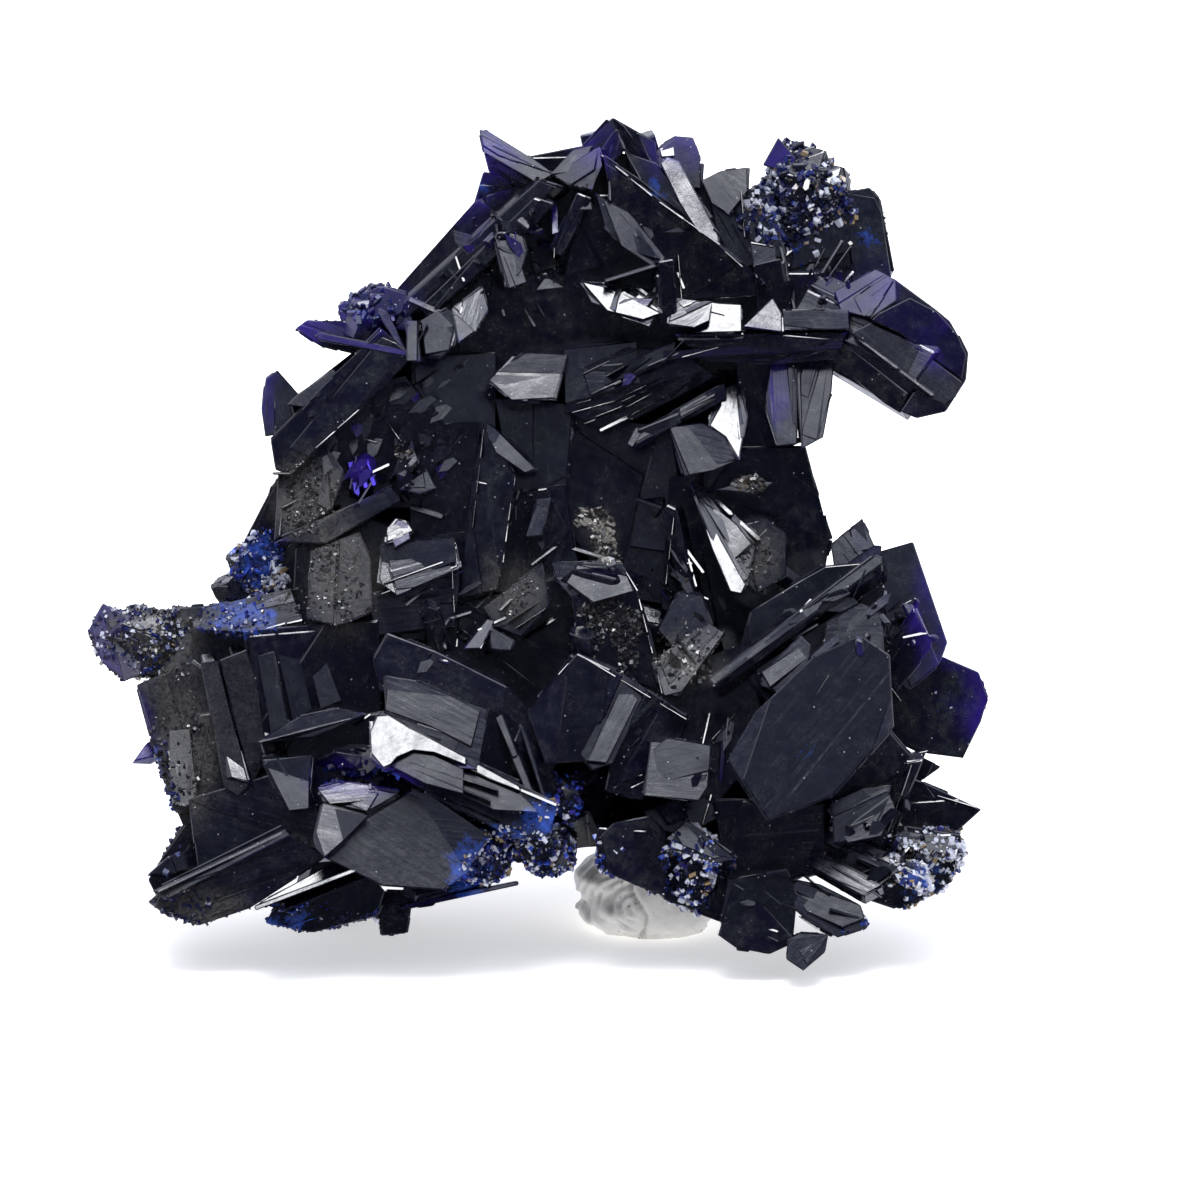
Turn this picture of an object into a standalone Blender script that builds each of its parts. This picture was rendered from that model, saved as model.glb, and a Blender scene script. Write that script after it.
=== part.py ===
"""Azurite specimen: dark tabular and prismatic crystals grown together into one cluster, which a lump
of white mounting putty holds upright. Metres, +Z up, with the display face towards -Y."""

import math
import random
from collections import namedtuple

import bmesh
import bpy
from mathutils import Matrix, Vector

MM = 0.001
LEAN = math.radians(12.0)       # the display face leans back from the vertical by this much
SEED = 17                       # drives the roughness of the core and the crystals on the back
FLAT_ANGLE = math.radians(0.3)  # neighbouring faces that meet flatter than this are one face

# Tabular crystals, in millimetres.
ROOT_DEPTH = 5.0                # how far behind its face the crystal's root reaches
ROOT_TAPER = 0.70               # how narrow it gets at its root
OVERLAP = 1.02                  # how much wider than its outline it grew, into its neighbours
UNEVEN = 0.03                   # how far its corners stray from its outline

# Prismatic crystals: how narrow they get at the root, and how fast each form of end falls away.
BLADE_TAPER = 0.82
SLANT_SLOPE = 0.55
ROOF_SLOPE = 0.75
SPEAR_SLOPE = 2.40
BLUNT_SLOPE = 0.08
SPEAR_RIDGE = 0.35              # the thickness of a spear's tip, as part of the crystal's

# The rough core, and the crystals on the back.
CORE_CORNERS = 10
ROUGH_CORNERS = 12
ROUGHNESS = 0.16                # how far a lump's corners stray, as part of its half size
BACK_PER_LUMP = 2
BACK_SLOPE = (0.25, 0.62)       # how far a crystal on the back leans away from straight backwards
BACK_REACH = (1.6, 3.6)         # how far it stands out of its lump
BACK_WIDTH = (1.6, 3.4)
BACK_FLATNESS = 0.75            # its thickness, as part of its width
BACK_TURN = 0.3                 # how far it strays from an even spread round its lump
BACK_EDGES = (0.3, 0.4)
BACK_CLEARANCE = 2.8            # no crystal on the back ends lower than this

# The putty, in millimetres.
SEAT_GAP = 0.33                 # its clearance to every crystal pressed into it
SEAT_REACH = 2.0                # crystals that end this far above the lump can't touch it
PUTTY_CENTRE = (2.0, 4.8)       # right and back of the cluster's zero
PUTTY_SIZE = (7.0, 8.8, 5.0)    # width, depth and height of the lump before the crystals press into it
PUTTY_DETAIL = 3                # how finely its surface is divided
PUTTY_FLAT = 0.72               # how far below its middle it is flat, as part of its half height
PUTTY_FOLDS = 5                 # creases that the kneading left on its left side
FOLD_DEPTH = 0.10
FOLD_SLANT = 0.35
FOLD_LIMIT = 0.25               # the creases end here, right of the lump's middle
BULGE = 0.06
SPREAD = 0.18                   # how much wider the lump is where it stands

SPREAD_WAYS = (
    (1, 0, 0), (-1, 0, 0), (0, 1, 0), (0, -1, 0), (0, 0, 1), (0, 0, -1),
    (1, 1, 1), (1, 1, -1), (1, -1, 1), (1, -1, -1), (-1, 1, 1), (-1, 1, -1), (-1, -1, 1), (-1, -1, -1),
)

Plate = namedtuple("Plate", "out facing outline")
Blade = namedtuple("Blade", "root tip width thickness facing end edges", defaults=((0.0, 0.0),))
Lump = namedtuple("Lump", "centre half")

# The crystals below are placed on the display face in millimetres: (right, up, out), with out towards
# the front. A face looks the way its (right, up) pair says: the first parts of a unit vector.

# Tabular crystals: how far out the face stands, where it looks, and its outline (right, up).
TOP_PLATES = (
    Plate(0.4, (0.05, -0.10), ((-3.5, 34.95), (-0.4, 35.5), (1.2, 35.1), (1.4, 31.0), (-3.6, 31.6))),
    Plate(2.6, (0.20, 0.40), ((-5.35, 36.1), (-4.9, 36.05), (-3.2, 35.0), (-2.1, 34.15), (-2.7, 33.75),
          (-4.0, 34.45), (-5.15, 35.1))),
    Plate(2.3, (-0.05, -0.30), ((-5.15, 35.1), (-4.0, 34.5), (-2.6, 33.8), (-3.5, 33.55), (-4.9, 34.25))),
    Plate(3.0, (-0.22, 0.30), ((-2.2, 34.1), (-0.9, 34.9), (-0.05, 35.3), (0.1, 34.5), (-0.35, 33.4),
          (-1.5, 33.65))),
    Plate(2.4, (-0.30, 0.06), ((0.5, 36.65), (0.78, 36.3), (1.1, 35.2), (0.4, 34.5), (-0.1, 35.0),
          (-0.75, 35.4))),
    Plate(2.2, (0.32, 0.00), ((0.55, 36.65), (1.05, 36.25), (1.65, 35.9), (2.45, 35.6), (2.6, 34.2),
          (1.9, 33.8), (1.1, 35.1))),
    Plate(3.2, (0.08, -0.16), ((0.2, 34.85), (1.9, 33.75), (5.2, 31.0), (6.65, 29.95), (6.95, 28.8),
          (3.4, 28.6), (2.0, 30.4), (0.5, 32.9))),
    Plate(2.9, (-0.20, 0.14), ((1.15, 35.1), (2.5, 34.6), (4.3, 31.9), (5.1, 31.1), (2.1, 33.4),
          (1.5, 34.2))),
    Plate(3.9, (-0.30, 0.20), ((-0.2, 33.3), (0.35, 32.9), (1.8, 31.5), (2.7, 30.3), (1.3, 30.7),
          (0.2, 31.8))),
    Plate(3.2, (0.30, 0.48), ((2.7, 34.8), (3.4, 34.7), (5.3, 31.4), (5.25, 30.95), (4.9, 31.1),
          (4.0, 32.0))),
    Plate(0.8, (0.10, 0.22), ((2.4, 35.0), (2.7, 35.55), (3.4, 35.9), (4.1, 35.85), (4.4, 35.1),
          (4.5, 33.6), (2.9, 33.8))),
    Plate(1.6, (-0.10, 0.30), ((4.55, 33.9), (5.3, 34.3), (6.5, 34.5), (6.5, 33.4), (5.7, 32.4),
          (4.9, 32.9))),
    Plate(0.4, (0.28, 0.04), ((10.9, 33.4), (12.0, 33.6), (12.4, 33.2), (12.95, 29.6), (11.2, 28.8))),
    Plate(3.8, (-0.12, 0.26), ((-4.65, 31.2), (-4.1, 31.5), (-3.4, 31.4), (-3.2, 30.6), (-3.7, 29.0),
          (-4.1, 29.1))),
    Plate(4.4, (0.20, 0.42), ((-6.5, 28.1), (-5.2, 29.1), (-4.9, 28.1), (-5.5, 27.1), (-6.2, 26.6))),
    Plate(4.3, (-0.18, 0.20), ((-7.9, 27.5), (-6.7, 28.1), (-6.3, 27.9), (-6.2, 26.7), (-6.9, 26.0),
          (-7.7, 26.2))),
    Plate(4.7, (0.20, 0.26), ((-8.5, 27.5), (-8.0, 27.5), (-7.8, 25.8), (-8.2, 25.8))),
    Plate(2.6, (0.02, 0.20), ((6.6, 31.1), (7.7, 30.9), (7.8, 30.3), (6.8, 30.0))),
    Plate(2.8, (-0.08, -0.10), ((6.8, 30.1), (8.0, 30.4), (8.4, 28.1), (7.1, 28.1))),
    Plate(1.8, (0.10, -0.05), ((-5.0, 33.2), (-2.4, 34.0), (-0.6, 33.4), (-1.0, 28.8), (-4.8, 29.2))),
    Plate(1.2, (-0.16, 0.00), ((-5.4, 33.3), (-5.2, 34.3), (-4.2, 34.2), (-3.6, 33.2), (-4.4, 31.8),
          (-6.0, 31.6))),
    Plate(1.4, (-0.06, 0.05), ((4.8, 33.2), (7.4, 33.6), (8.2, 30.6), (5.6, 29.8))),
    Plate(0.8, (0.12, 0.02), ((7.6, 33.6), (11.2, 33.4), (11.4, 28.4), (8.0, 28.0))),
    Plate(2.6, (0.00, -0.08), ((-1.0, 33.2), (0.9, 33.2), (2.8, 29.0), (-1.6, 29.0))),
    Plate(1.6, (0.00, -0.10), ((-6.8, 29.8), (10.6, 29.8), (10.0, 25.4), (-6.4, 25.0))),
)
STRIP_PLATES = (
    Plate(5.0, (-0.20, 0.56), ((-0.9, 29.3), (0.95, 29.05), (0.7, 28.0), (-0.4, 28.4))),
    Plate(5.3, (0.12, 0.40), ((0.4, 28.4), (1.05, 28.95), (1.6, 28.6), (2.4, 27.7), (2.2, 27.3),
          (1.0, 27.7))),
    Plate(4.9, (0.12, 0.56), ((1.1, 29.1), (2.45, 28.85), (2.75, 27.9), (2.0, 27.8))),
    Plate(5.0, (-0.05, 0.58), ((3.3, 28.6), (4.95, 28.4), (4.8, 27.6), (4.1, 27.25), (3.0, 27.4))),
    Plate(4.7, (0.02, 0.44), ((4.9, 28.4), (6.2, 28.35), (6.2, 27.1), (4.2, 27.05))),
    Plate(5.3, (0.10, 0.56), ((7.6, 28.6), (8.0, 27.9), (7.95, 27.1), (6.25, 27.3))),
    Plate(4.6, (0.05, 0.26), ((8.0, 28.0), (10.9, 28.1), (11.0, 27.2), (8.0, 27.2))),
    Plate(4.4, (0.00, -0.22), ((3.2, 27.0), (10.8, 27.1), (10.3, 25.9), (7.4, 25.7), (4.6, 25.9))),
    Plate(4.3, (-0.14, 0.26), ((7.6, 25.9), (8.6, 25.9), (8.65, 22.2), (7.8, 22.1), (7.25, 23.9))),
    Plate(4.0, (0.10, 0.28), ((8.8, 26.0), (10.3, 25.9), (10.2, 24.4), (9.8, 23.4), (9.8, 22.5),
          (8.85, 22.0))),
    Plate(3.0, (0.10, -0.06), ((6.0, 27.2), (10.4, 27.0), (9.6, 22.6), (6.2, 21.4))),
    Plate(4.2, (-0.20, 0.36), ((10.3, 28.9), (11.3, 29.4), (12.1, 29.85), (13.0, 29.4), (13.0, 28.5),
          (11.9, 27.7), (10.6, 28.1))),
)
CENTRE_PLATES = (
    Plate(3.8, (-0.26, 0.48), ((5.3, 24.6), (6.05, 24.95), (6.35, 24.5), (6.5, 23.4), (6.15, 21.5),
          (5.2, 22.8), (4.75, 23.0))),
    Plate(4.6, (-0.06, 0.20), ((3.0, 22.95), (4.5, 23.1), (5.5, 22.5), (5.95, 21.5), (3.7, 20.75))),
    Plate(4.3, (0.30, 0.44), ((4.0, 20.45), (4.5, 20.4), (6.9, 18.3), (6.5, 16.2), (6.2, 15.6),
          (5.7, 15.8))),
    Plate(3.6, (0.22, 0.10), ((6.2, 18.6), (7.4, 18.9), (8.2, 18.2), (8.2, 16.4), (6.9, 15.6),
          (6.1, 16.6))),
    Plate(3.4, (0.00, 0.26), ((5.2, 20.2), (6.6, 20.8), (7.6, 20.5), (6.9, 20.0))),
    Plate(2.6, (0.10, -0.12), ((4.6, 22.0), (9.05, 22.0), (9.6, 19.9), (10.1, 18.0), (9.6, 14.6),
          (5.6, 12.6), (4.6, 17.5))),
    Plate(1.8, (-0.04, 0.02), ((-1.8, 23.6), (3.1, 22.9), (3.6, 20.0), (2.8, 15.2), (0.6, 15.6),
          (-2.2, 19.6))),
    Plate(2.4, (0.12, -0.04), ((3.1, 20.7), (4.5, 20.9), (5.6, 16.2), (5.0, 14.0), (2.7, 15.0))),
    Plate(4.0, (0.00, 0.30), ((-4.6, 25.3), (-3.3, 26.2), (-1.4, 26.1), (-1.9, 24.1), (-3.9, 24.1),
          (-4.9, 24.9))),
    Plate(3.8, (-0.18, 0.03), ((-5.05, 23.2), (-3.75, 20.8), (-4.0, 18.8), (-4.5, 15.8), (-6.3, 15.4),
          (-5.7, 20.4))),
    Plate(3.9, (0.26, 0.20), ((-4.95, 23.05), (-4.6, 22.9), (-2.75, 21.05), (-3.1, 20.85), (-3.8, 21.2),
          (-4.9, 22.4))),
    Plate(3.4, (0.02, 0.20), ((-2.8, 19.8), (-2.1, 19.9), (-2.5, 18.2), (-3.3, 18.1))),
    Plate(2.4, (0.06, 0.06), ((-4.6, 24.2), (-1.2, 24.0), (-1.6, 19.0), (-3.6, 18.6))),
    Plate(2.8, (0.10, -0.05), ((-4.4, 20.0), (-1.6, 20.4), (-0.9, 16.4), (-4.6, 15.6))),
    Plate(3.2, (-0.04, 0.10), ((-1.6, 26.4), (1.6, 26.7), (1.8, 24.9), (-1.5, 24.0))),
    Plate(2.2, (0.10, 0.10), ((-8.2, 26.0), (-4.6, 26.3), (-4.6, 22.9), (-8.0, 22.0))),
    Plate(2.4, (-0.06, 0.00), ((-8.4, 23.0), (-5.4, 23.2), (-5.6, 17.4), (-8.4, 17.0))),
    Plate(2.8, (0.04, -0.04), ((-8.6, 18.0), (-5.4, 18.4), (-4.0, 14.6), (-8.8, 13.4))),
    Plate(5.6, (-0.14, 0.12), ((-5.1, 15.0), (-2.5, 16.9), (-2.2, 15.1), (-3.5, 13.7), (-4.6, 14.2))),
    Plate(6.2, (-0.20, 0.46), ((-6.0, 13.2), (-5.0, 14.5), (-4.6, 14.4), (-5.2, 13.2))),
    Plate(6.0, (0.14, 0.26), ((-4.9, 14.2), (-3.7, 13.6), (-3.9, 13.1), (-4.8, 13.2))),
    Plate(5.6, (-0.04, 0.16), ((-2.2, 17.0), (0.9, 16.95), (1.65, 15.9), (-1.1, 15.2), (-1.8, 16.0))),
    Plate(5.9, (0.10, -0.04), ((-1.25, 15.5), (1.6, 15.8), (2.1, 14.0), (2.7, 11.3), (1.0, 12.0),
          (-0.9, 13.0))),
    Plate(5.6, (0.18, 0.24), ((2.3, 12.6), (3.1, 13.2), (4.8, 14.3), (5.5, 13.85), (3.4, 11.1),
          (2.7, 11.3))),
    Plate(4.6, (0.05, 0.20), ((3.4, 15.7), (4.5, 15.5), (4.9, 14.2), (3.2, 13.3), (2.5, 14.0))),
    Plate(6.6, (-0.14, 0.02), ((-1.0, 13.0), (1.0, 12.0), (-0.7, 8.3), (-2.4, 8.2), (-3.2, 10.4))),
    Plate(6.8, (0.10, 0.20), ((1.0, 12.1), (2.1, 11.4), (0.6, 8.2), (-0.3, 7.9), (-0.8, 8.6))),
    Plate(6.4, (0.22, -0.08), ((2.1, 11.4), (3.9, 10.2), (3.1, 8.4), (1.8, 6.6), (0.2, 7.0), (0.5, 8.4))),
    Plate(8.2, (-0.04, 0.22), ((2.2, 8.7), (2.9, 9.3), (4.85, 9.0), (4.8, 8.0), (4.2, 6.6), (1.85, 6.9))),
    Plate(4.6, (0.00, 0.00), ((2.0, 11.8), (6.4, 13.4), (7.4, 9.0), (4.6, 6.0), (2.0, 7.0))),
    Plate(3.2, (0.02, -0.02), ((-7.8, 14.6), (-1.2, 16.4), (1.4, 13.6), (-0.4, 9.4), (-6.6, 9.4))),
)
RIGHT_PLATES = (
    Plate(8.6, (0.03, 0.14), ((5.6, 8.4), (6.8, 10.4), (9.3, 12.8), (11.3, 13.75), (12.6, 12.9),
          (12.7, 9.8), (10.1, 6.8), (7.3, 5.8))),
    Plate(7.8, (-0.10, 0.22), ((7.0, 11.6), (7.2, 12.3), (8.7, 13.8), (9.2, 13.3), (9.0, 12.3),
          (7.8, 11.4))),
    Plate(6.9, (0.06, 0.18), ((9.7, 12.6), (9.9, 14.3), (11.4, 15.2), (12.3, 14.7), (12.4, 13.0),
          (10.6, 12.2))),
    Plate(5.0, (0.02, 0.02), ((6.0, 12.6), (6.6, 14.8), (9.8, 16.8), (12.2, 17.0), (12.8, 12.0),
          (8.0, 10.0))),
    Plate(3.6, (0.05, 0.22), ((10.15, 17.8), (11.55, 18.9), (12.1, 17.7), (12.2, 16.4), (10.4, 16.0))),
    Plate(4.4, (0.14, 0.12), ((12.3, 17.4), (12.7, 17.3), (13.8, 17.85), (14.3, 16.4), (15.25, 13.5),
          (14.9, 12.6), (13.6, 11.4), (12.2, 12.6))),
    Plate(3.4, (0.10, -0.04), ((12.6, 12.0), (15.1, 12.8), (15.9, 12.2), (16.7, 12.1), (17.05, 11.0),
          (16.8, 10.0), (16.0, 8.4), (14.4, 8.6), (12.4, 9.4))),
    Plate(3.2, (0.10, -0.05), ((12.6, 8.6), (13.6, 8.65), (15.0, 8.0), (14.2, 7.4), (12.6, 7.2))),
    Plate(4.0, (0.08, -0.12), ((13.2, 7.6), (14.2, 7.35), (16.8, 6.1), (15.8, 5.2), (13.0, 4.9))),
    Plate(6.4, (0.02, 0.22), ((10.1, 6.5), (11.6, 7.15), (12.8, 7.2), (12.2, 5.0), (10.2, 4.7))),
    Plate(5.8, (0.05, -0.10), ((9.6, 7.0), (12.6, 9.8), (13.6, 8.6), (13.2, 6.0), (10.6, 6.2))),
    Plate(4.6, (0.05, -0.08), ((9.6, 5.2), (13.4, 5.4), (15.8, 5.0), (15.9, 4.0), (15.0, 2.6), (13.2, 1.8),
          (10.6, 2.6))),
    Plate(6.8, (-0.10, 0.20), ((3.2, 4.8), (3.8, 5.75), (4.8, 4.95), (5.95, 4.0), (5.0, 3.85), (3.4, 4.4))),
    Plate(6.2, (-0.05, -0.08), ((-0.1, 5.4), (2.3, 5.2), (2.9, 4.4), (2.8, 2.4), (1.5, 2.9), (-0.1, 3.6))),
    Plate(6.4, (0.02, 0.04), ((5.9, 3.1), (8.2, 3.5), (8.6, 2.4), (8.4, 0.3), (7.4, -0.15), (6.0, 0.1),
          (5.2, 0.7))),
    Plate(6.2, (0.12, 0.20), ((8.4, 3.1), (9.6, 2.9), (11.3, 2.0), (11.7, 1.0), (10.4, 0.6), (9.2, 1.2),
          (8.5, 1.8))),
    Plate(7.4, (0.02, 0.20), ((8.2, 0.5), (8.7, 0.85), (9.95, 0.7), (9.8, 0.0), (8.85, -0.85),
          (8.15, -0.3))),
    Plate(5.4, (-0.06, -0.05), ((5.0, 6.6), (7.2, 6.2), (9.8, 6.4), (9.8, 3.4), (5.6, 2.6))),
    Plate(5.0, (-0.02, -0.05), ((2.6, 4.8), (5.6, 4.6), (5.9, 1.2), (4.1, 1.8), (2.8, 2.2))),
)
FRONT_PLATES = (
    Plate(6.8, (0.00, 0.20), ((-9.4, 12.0), (-8.0, 11.8), (-4.9, 10.5), (-5.3, 8.2), (-9.3, 10.2))),
    Plate(6.2, (0.04, 0.00), ((-9.9, 12.8), (-9.3, 13.85), (-7.2, 13.1), (-4.0, 11.5), (-1.6, 8.7),
          (-4.9, 9.5), (-9.6, 11.4))),
    Plate(6.4, (0.34, -0.04), ((-4.9, 10.6), (-4.1, 10.4), (-2.0, 8.2), (-1.9, 6.4), (-5.4, 8.0))),
    Plate(7.8, (-0.30, 0.46), ((-9.95, 10.0), (-9.5, 10.45), (-8.0, 9.3), (-5.4, 8.0), (-8.2, 8.4),
          (-9.4, 8.0), (-9.95, 8.4))),
    Plate(7.4, (-0.04, 0.14), ((-9.4, 8.1), (-8.2, 8.7), (-5.4, 8.2), (-1.9, 6.5), (-2.3, 5.0), (-3.8, 5.0),
          (-7.8, 7.1))),
    Plate(7.4, (-0.08, 0.14), ((-12.0, 4.1), (-10.0, 6.0), (-8.2, 7.0), (-7.5, 6.9), (-4.8, 5.0),
          (-5.5, 4.2), (-6.9, 2.7), (-9.5, 2.9))),
    Plate(7.8, (-0.36, 0.30), ((-12.5, 5.0), (-12.2, 6.4), (-10.1, 5.95), (-11.9, 4.1), (-12.4, 4.5))),
    Plate(7.0, (-0.16, 0.36), ((-12.3, 7.1), (-11.4, 7.4), (-8.8, 6.9), (-10.2, 6.1), (-12.1, 6.5))),
    Plate(6.2, (-0.05, 0.14), ((-14.8, 8.3), (-12.6, 8.5), (-12.8, 6.2), (-13.6, 6.1), (-14.2, 7.0))),
    Plate(4.4, (0.06, -0.06), ((-15.4, 14.0), (-9.8, 14.4), (-9.6, 10.0), (-14.8, 9.0))),
    Plate(5.4, (-0.10, 0.16), ((-15.0, 9.1), (-13.2, 10.2), (-11.5, 10.6), (-10.2, 10.3), (-12.6, 9.3))),
    Plate(4.8, (-0.08, 0.04), ((-18.0, 6.6), (-13.2, 8.0), (-11.8, 4.6), (-17.6, 3.2))),
    Plate(4.4, (-0.06, -0.04), ((-14.0, 9.6), (-9.4, 10.4), (-9.4, 6.8), (-13.2, 6.0))),
    Plate(5.8, (-0.04, -0.02), ((-19.2, 2.5), (-13.8, 5.1), (-12.0, 4.1), (-15.4, 1.8), (-17.6, 1.1),
          (-19.5, 1.9))),
    Plate(6.2, (-0.10, 0.26), ((-19.5, 2.6), (-13.8, 5.3), (-13.6, 5.0), (-19.0, 2.2))),
    Plate(6.3, (0.00, 0.46), ((-14.9, 2.1), (-11.6, 3.9), (-10.4, 3.4), (-13.4, 1.6))),
    Plate(5.6, (0.04, -0.04), ((-14.2, 1.9), (-10.4, 3.5), (-9.5, 2.6), (-9.8, 1.5), (-12.6, 0.8),
          (-14.6, 1.2))),
    Plate(3.2, (-0.20, 0.02), ((-20.4, 11.5), (-18.0, 12.6), (-15.8, 11.0), (-15.6, 5.6), (-18.2, 5.0),
          (-19.0, 6.8), (-19.5, 8.2))),
    Plate(4.2, (-0.12, -0.02), ((-18.0, 10.2), (-16.3, 10.4), (-15.8, 6.6), (-17.6, 6.4))),
    Plate(2.6, (0.00, -0.02), ((-18.0, 14.0), (-13.0, 14.4), (-12.6, 6.0), (-17.6, 5.4))),
    Plate(3.4, (-0.16, 0.00), ((-18.4, 5.4), (-19.2, 4.2), (-19.9, 3.0), (-19.4, 2.0), (-16.0, 2.6),
          (-16.0, 5.6))),
    Plate(4.8, (0.00, 0.30), ((-9.8, 2.5), (-8.2, 2.5), (-8.4, 1.4), (-9.9, 1.4))),
    Plate(4.7, (0.02, -0.16), ((-9.8, 1.6), (-8.3, 1.6), (-8.5, 0.7), (-9.6, 0.6))),
)
LEFT_PLATES = (
    Plate(4.2, (-0.06, -0.02), ((-14.45, 22.4), (-12.2, 24.7), (-9.6, 27.2), (-8.3, 26.0), (-10.6, 23.7),
          (-13.6, 20.85), (-14.25, 21.1))),
    Plate(3.6, (-0.12, 0.14), ((-14.2, 20.8), (-12.2, 22.3), (-11.3, 21.0), (-11.8, 19.3), (-14.3, 18.0))),
    Plate(4.2, (-0.02, 0.08), ((-14.2, 17.9), (-11.5, 19.3), (-9.2, 20.3), (-8.8, 19.7), (-12.0, 17.8))),
    Plate(4.6, (-0.10, 0.18), ((-12.6, 17.5), (-10.6, 18.3), (-10.1, 17.2), (-10.0, 14.8), (-11.5, 14.2),
          (-12.8, 14.5), (-12.8, 15.9))),
    Plate(4.8, (0.10, 0.40), ((-9.35, 17.8), (-9.35, 18.5), (-9.0, 18.95), (-8.5, 18.8), (-8.2, 18.3),
          (-8.5, 17.9))),
    Plate(4.6, (0.08, 0.36), ((-9.7, 16.1), (-9.5, 17.7), (-6.4, 17.9), (-6.2, 16.7), (-8.9, 15.5))),
    Plate(4.2, (0.05, 0.04), ((-10.2, 15.6), (-6.2, 16.6), (-6.4, 14.2), (-9.8, 13.8))),
    Plate(2.6, (0.06, -0.02), ((-11.8, 24.4), (-8.6, 25.2), (-6.6, 22.6), (-8.0, 19.4), (-11.9, 19.4))),
    Plate(3.6, (-0.06, 0.26), ((-9.05, 20.9), (-8.8, 21.6), (-8.3, 22.2), (-7.9, 21.4), (-8.6, 20.7))),
    Plate(3.5, (0.10, 0.26), ((-8.9, 20.2), (-8.2, 20.6), (-7.6, 21.1), (-7.2, 20.3), (-7.9, 20.0))),
    Plate(2.2, (-0.20, -0.06), ((-16.6, 15.6), (-15.3, 18.2), (-14.2, 20.7), (-12.6, 20.4), (-12.6, 14.6))),
    Plate(3.8, (-0.04, 0.26), ((-17.4, 15.0), (-13.6, 15.85), (-13.1, 14.4), (-15.0, 13.9), (-17.6, 14.0))),
    Plate(3.0, (-0.05, 0.02), ((-13.4, 17.6), (-11.4, 19.4), (-8.8, 18.4), (-9.0, 13.0), (-13.6, 13.4))),
    Plate(2.0, (-0.14, 0.12), ((-14.3, 25.5), (-13.3, 24.4), (-13.4, 22.8), (-14.8, 22.55), (-15.0, 23.8),
          (-14.8, 25.1))),
    Plate(2.6, (-0.05, 0.14), ((-13.4, 27.35), (-12.9, 27.7), (-10.9, 27.6), (-9.6, 26.8), (-10.9, 26.2),
          (-12.4, 26.6))),
    Plate(1.6, (-0.10, 0.14), ((-11.6, 28.4), (-10.5, 28.9), (-9.7, 29.25), (-8.6, 28.9), (-8.2, 27.4),
          (-11.5, 27.7))),
    Plate(2.4, (-0.10, 0.16), ((-22.6, 14.0), (-22.0, 15.15), (-21.4, 14.8), (-20.2, 14.3), (-20.3, 12.0),
          (-21.0, 11.8), (-22.0, 12.6))),
    Plate(2.2, (-0.04, 0.14), ((-20.8, 14.2), (-18.2, 15.0), (-16.6, 15.1), (-16.2, 12.2), (-19.0, 12.2),
          (-20.6, 11.9))),
)

# Prismatic crystals: root, tip, width, thickness, where the broad face looks, the form of the end,
# and how the long edges are cut away (in from the side of the broad face, down its side).
TOP_BLADES = (
    Blade((3.2, 32.0, -1.2), (1.95, 36.0, 0.0), 0.9, 1.2, (0.0, 0.1), "blunt"),
    Blade((-8.9, 27.8, 1.2), (-1.9, 33.9, 2.6), 1.3, 1.4, (-0.16, 0.12), "slant_left", (0.3, 0.3)),
    Blade((-7.7, 28.0, 2.2), (-2.2, 33.1, 3.2), 0.8, 1.2, (-0.10, 0.02), "slant_left"),
    Blade((-8.6, 28.4, 0.4), (-4.6, 32.6, 1.4), 1.5, 1.6, (-0.22, 0.06), "blunt"),
    Blade((-5.2, 29.6, 0.0), (-6.05, 32.2, 0.4), 0.5, 0.5, (-0.2, 0.1), "spear"),
    Blade((3.0, 27.5, 4.6), (2.8, 30.3, 5.0), 0.7, 0.9, (0.18, 0.20), "blunt"),
    Blade((-1.9, 30.6, 2.9), (-0.6, 33.2, 3.2), 0.7, 0.9, (-0.1, 0.1), "blunt"),
)
UPPER_RIGHT_BLADES = (
    Blade((9.0, 28.2, 2.2), (14.65, 25.15, 4.0), 4.1, 2.8, (0.04, 0.12), "blunt", (1.3, 1.3)),
)
CENTRE_BLADES = (
    Blade((5.4, 24.5, 3.2), (1.3, 22.2, 4.2), 0.5, 1.0, (0.0, 0.28), "slant_left"),
    Blade((-1.3, 23.2, 3.2), (4.5, 25.3, 4.3), 0.6, 0.8, (-0.14, 0.36), "slant_right"),
    Blade((-0.6, 24.6, 2.8), (3.6, 26.4, 3.7), 0.7, 0.8, (-0.12, 0.26), "slant_right"),
    Blade((4.2, 15.0, 3.0), (3.1, 19.6, 3.0), 0.8, 1.2, (-0.30, 0.02), "roof"),
    Blade((-6.8, 13.2, 4.0), (-7.6, 15.2, 5.0), 0.8, 0.9, (-0.2, 0.36), "roof"),
)
RIGHT_BLADES = (
    Blade((5.0, 11.5, 5.6), (12.5, 16.95, 5.2), 0.9, 1.8, (-0.26, 0.22), "roof", (0.2, 0.3)),
    Blade((12.5, 11.8, 4.6), (14.5, 14.6, 5.2), 1.7, 1.6, (0.20, 0.24), "slant_right"),
    Blade((12.2, 4.6, 4.8), (13.8, 8.6, 5.8), 0.7, 1.0, (0.24, 0.16), "slant_left"),
    Blade((8.0, 4.6, 4.6), (12.2, 2.3, 6.0), 0.9, 1.0, (0.12, 0.26), "slant_left"),
    Blade((9.4, 5.2, 4.4), (14.6, 2.9, 5.6), 0.9, 1.2, (0.05, 0.10), "slant_right"),
    Blade((10.6, 5.2, 4.4), (15.7, 4.3, 5.4), 0.8, 1.0, (0.05, 0.30), "roof"),
)
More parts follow.
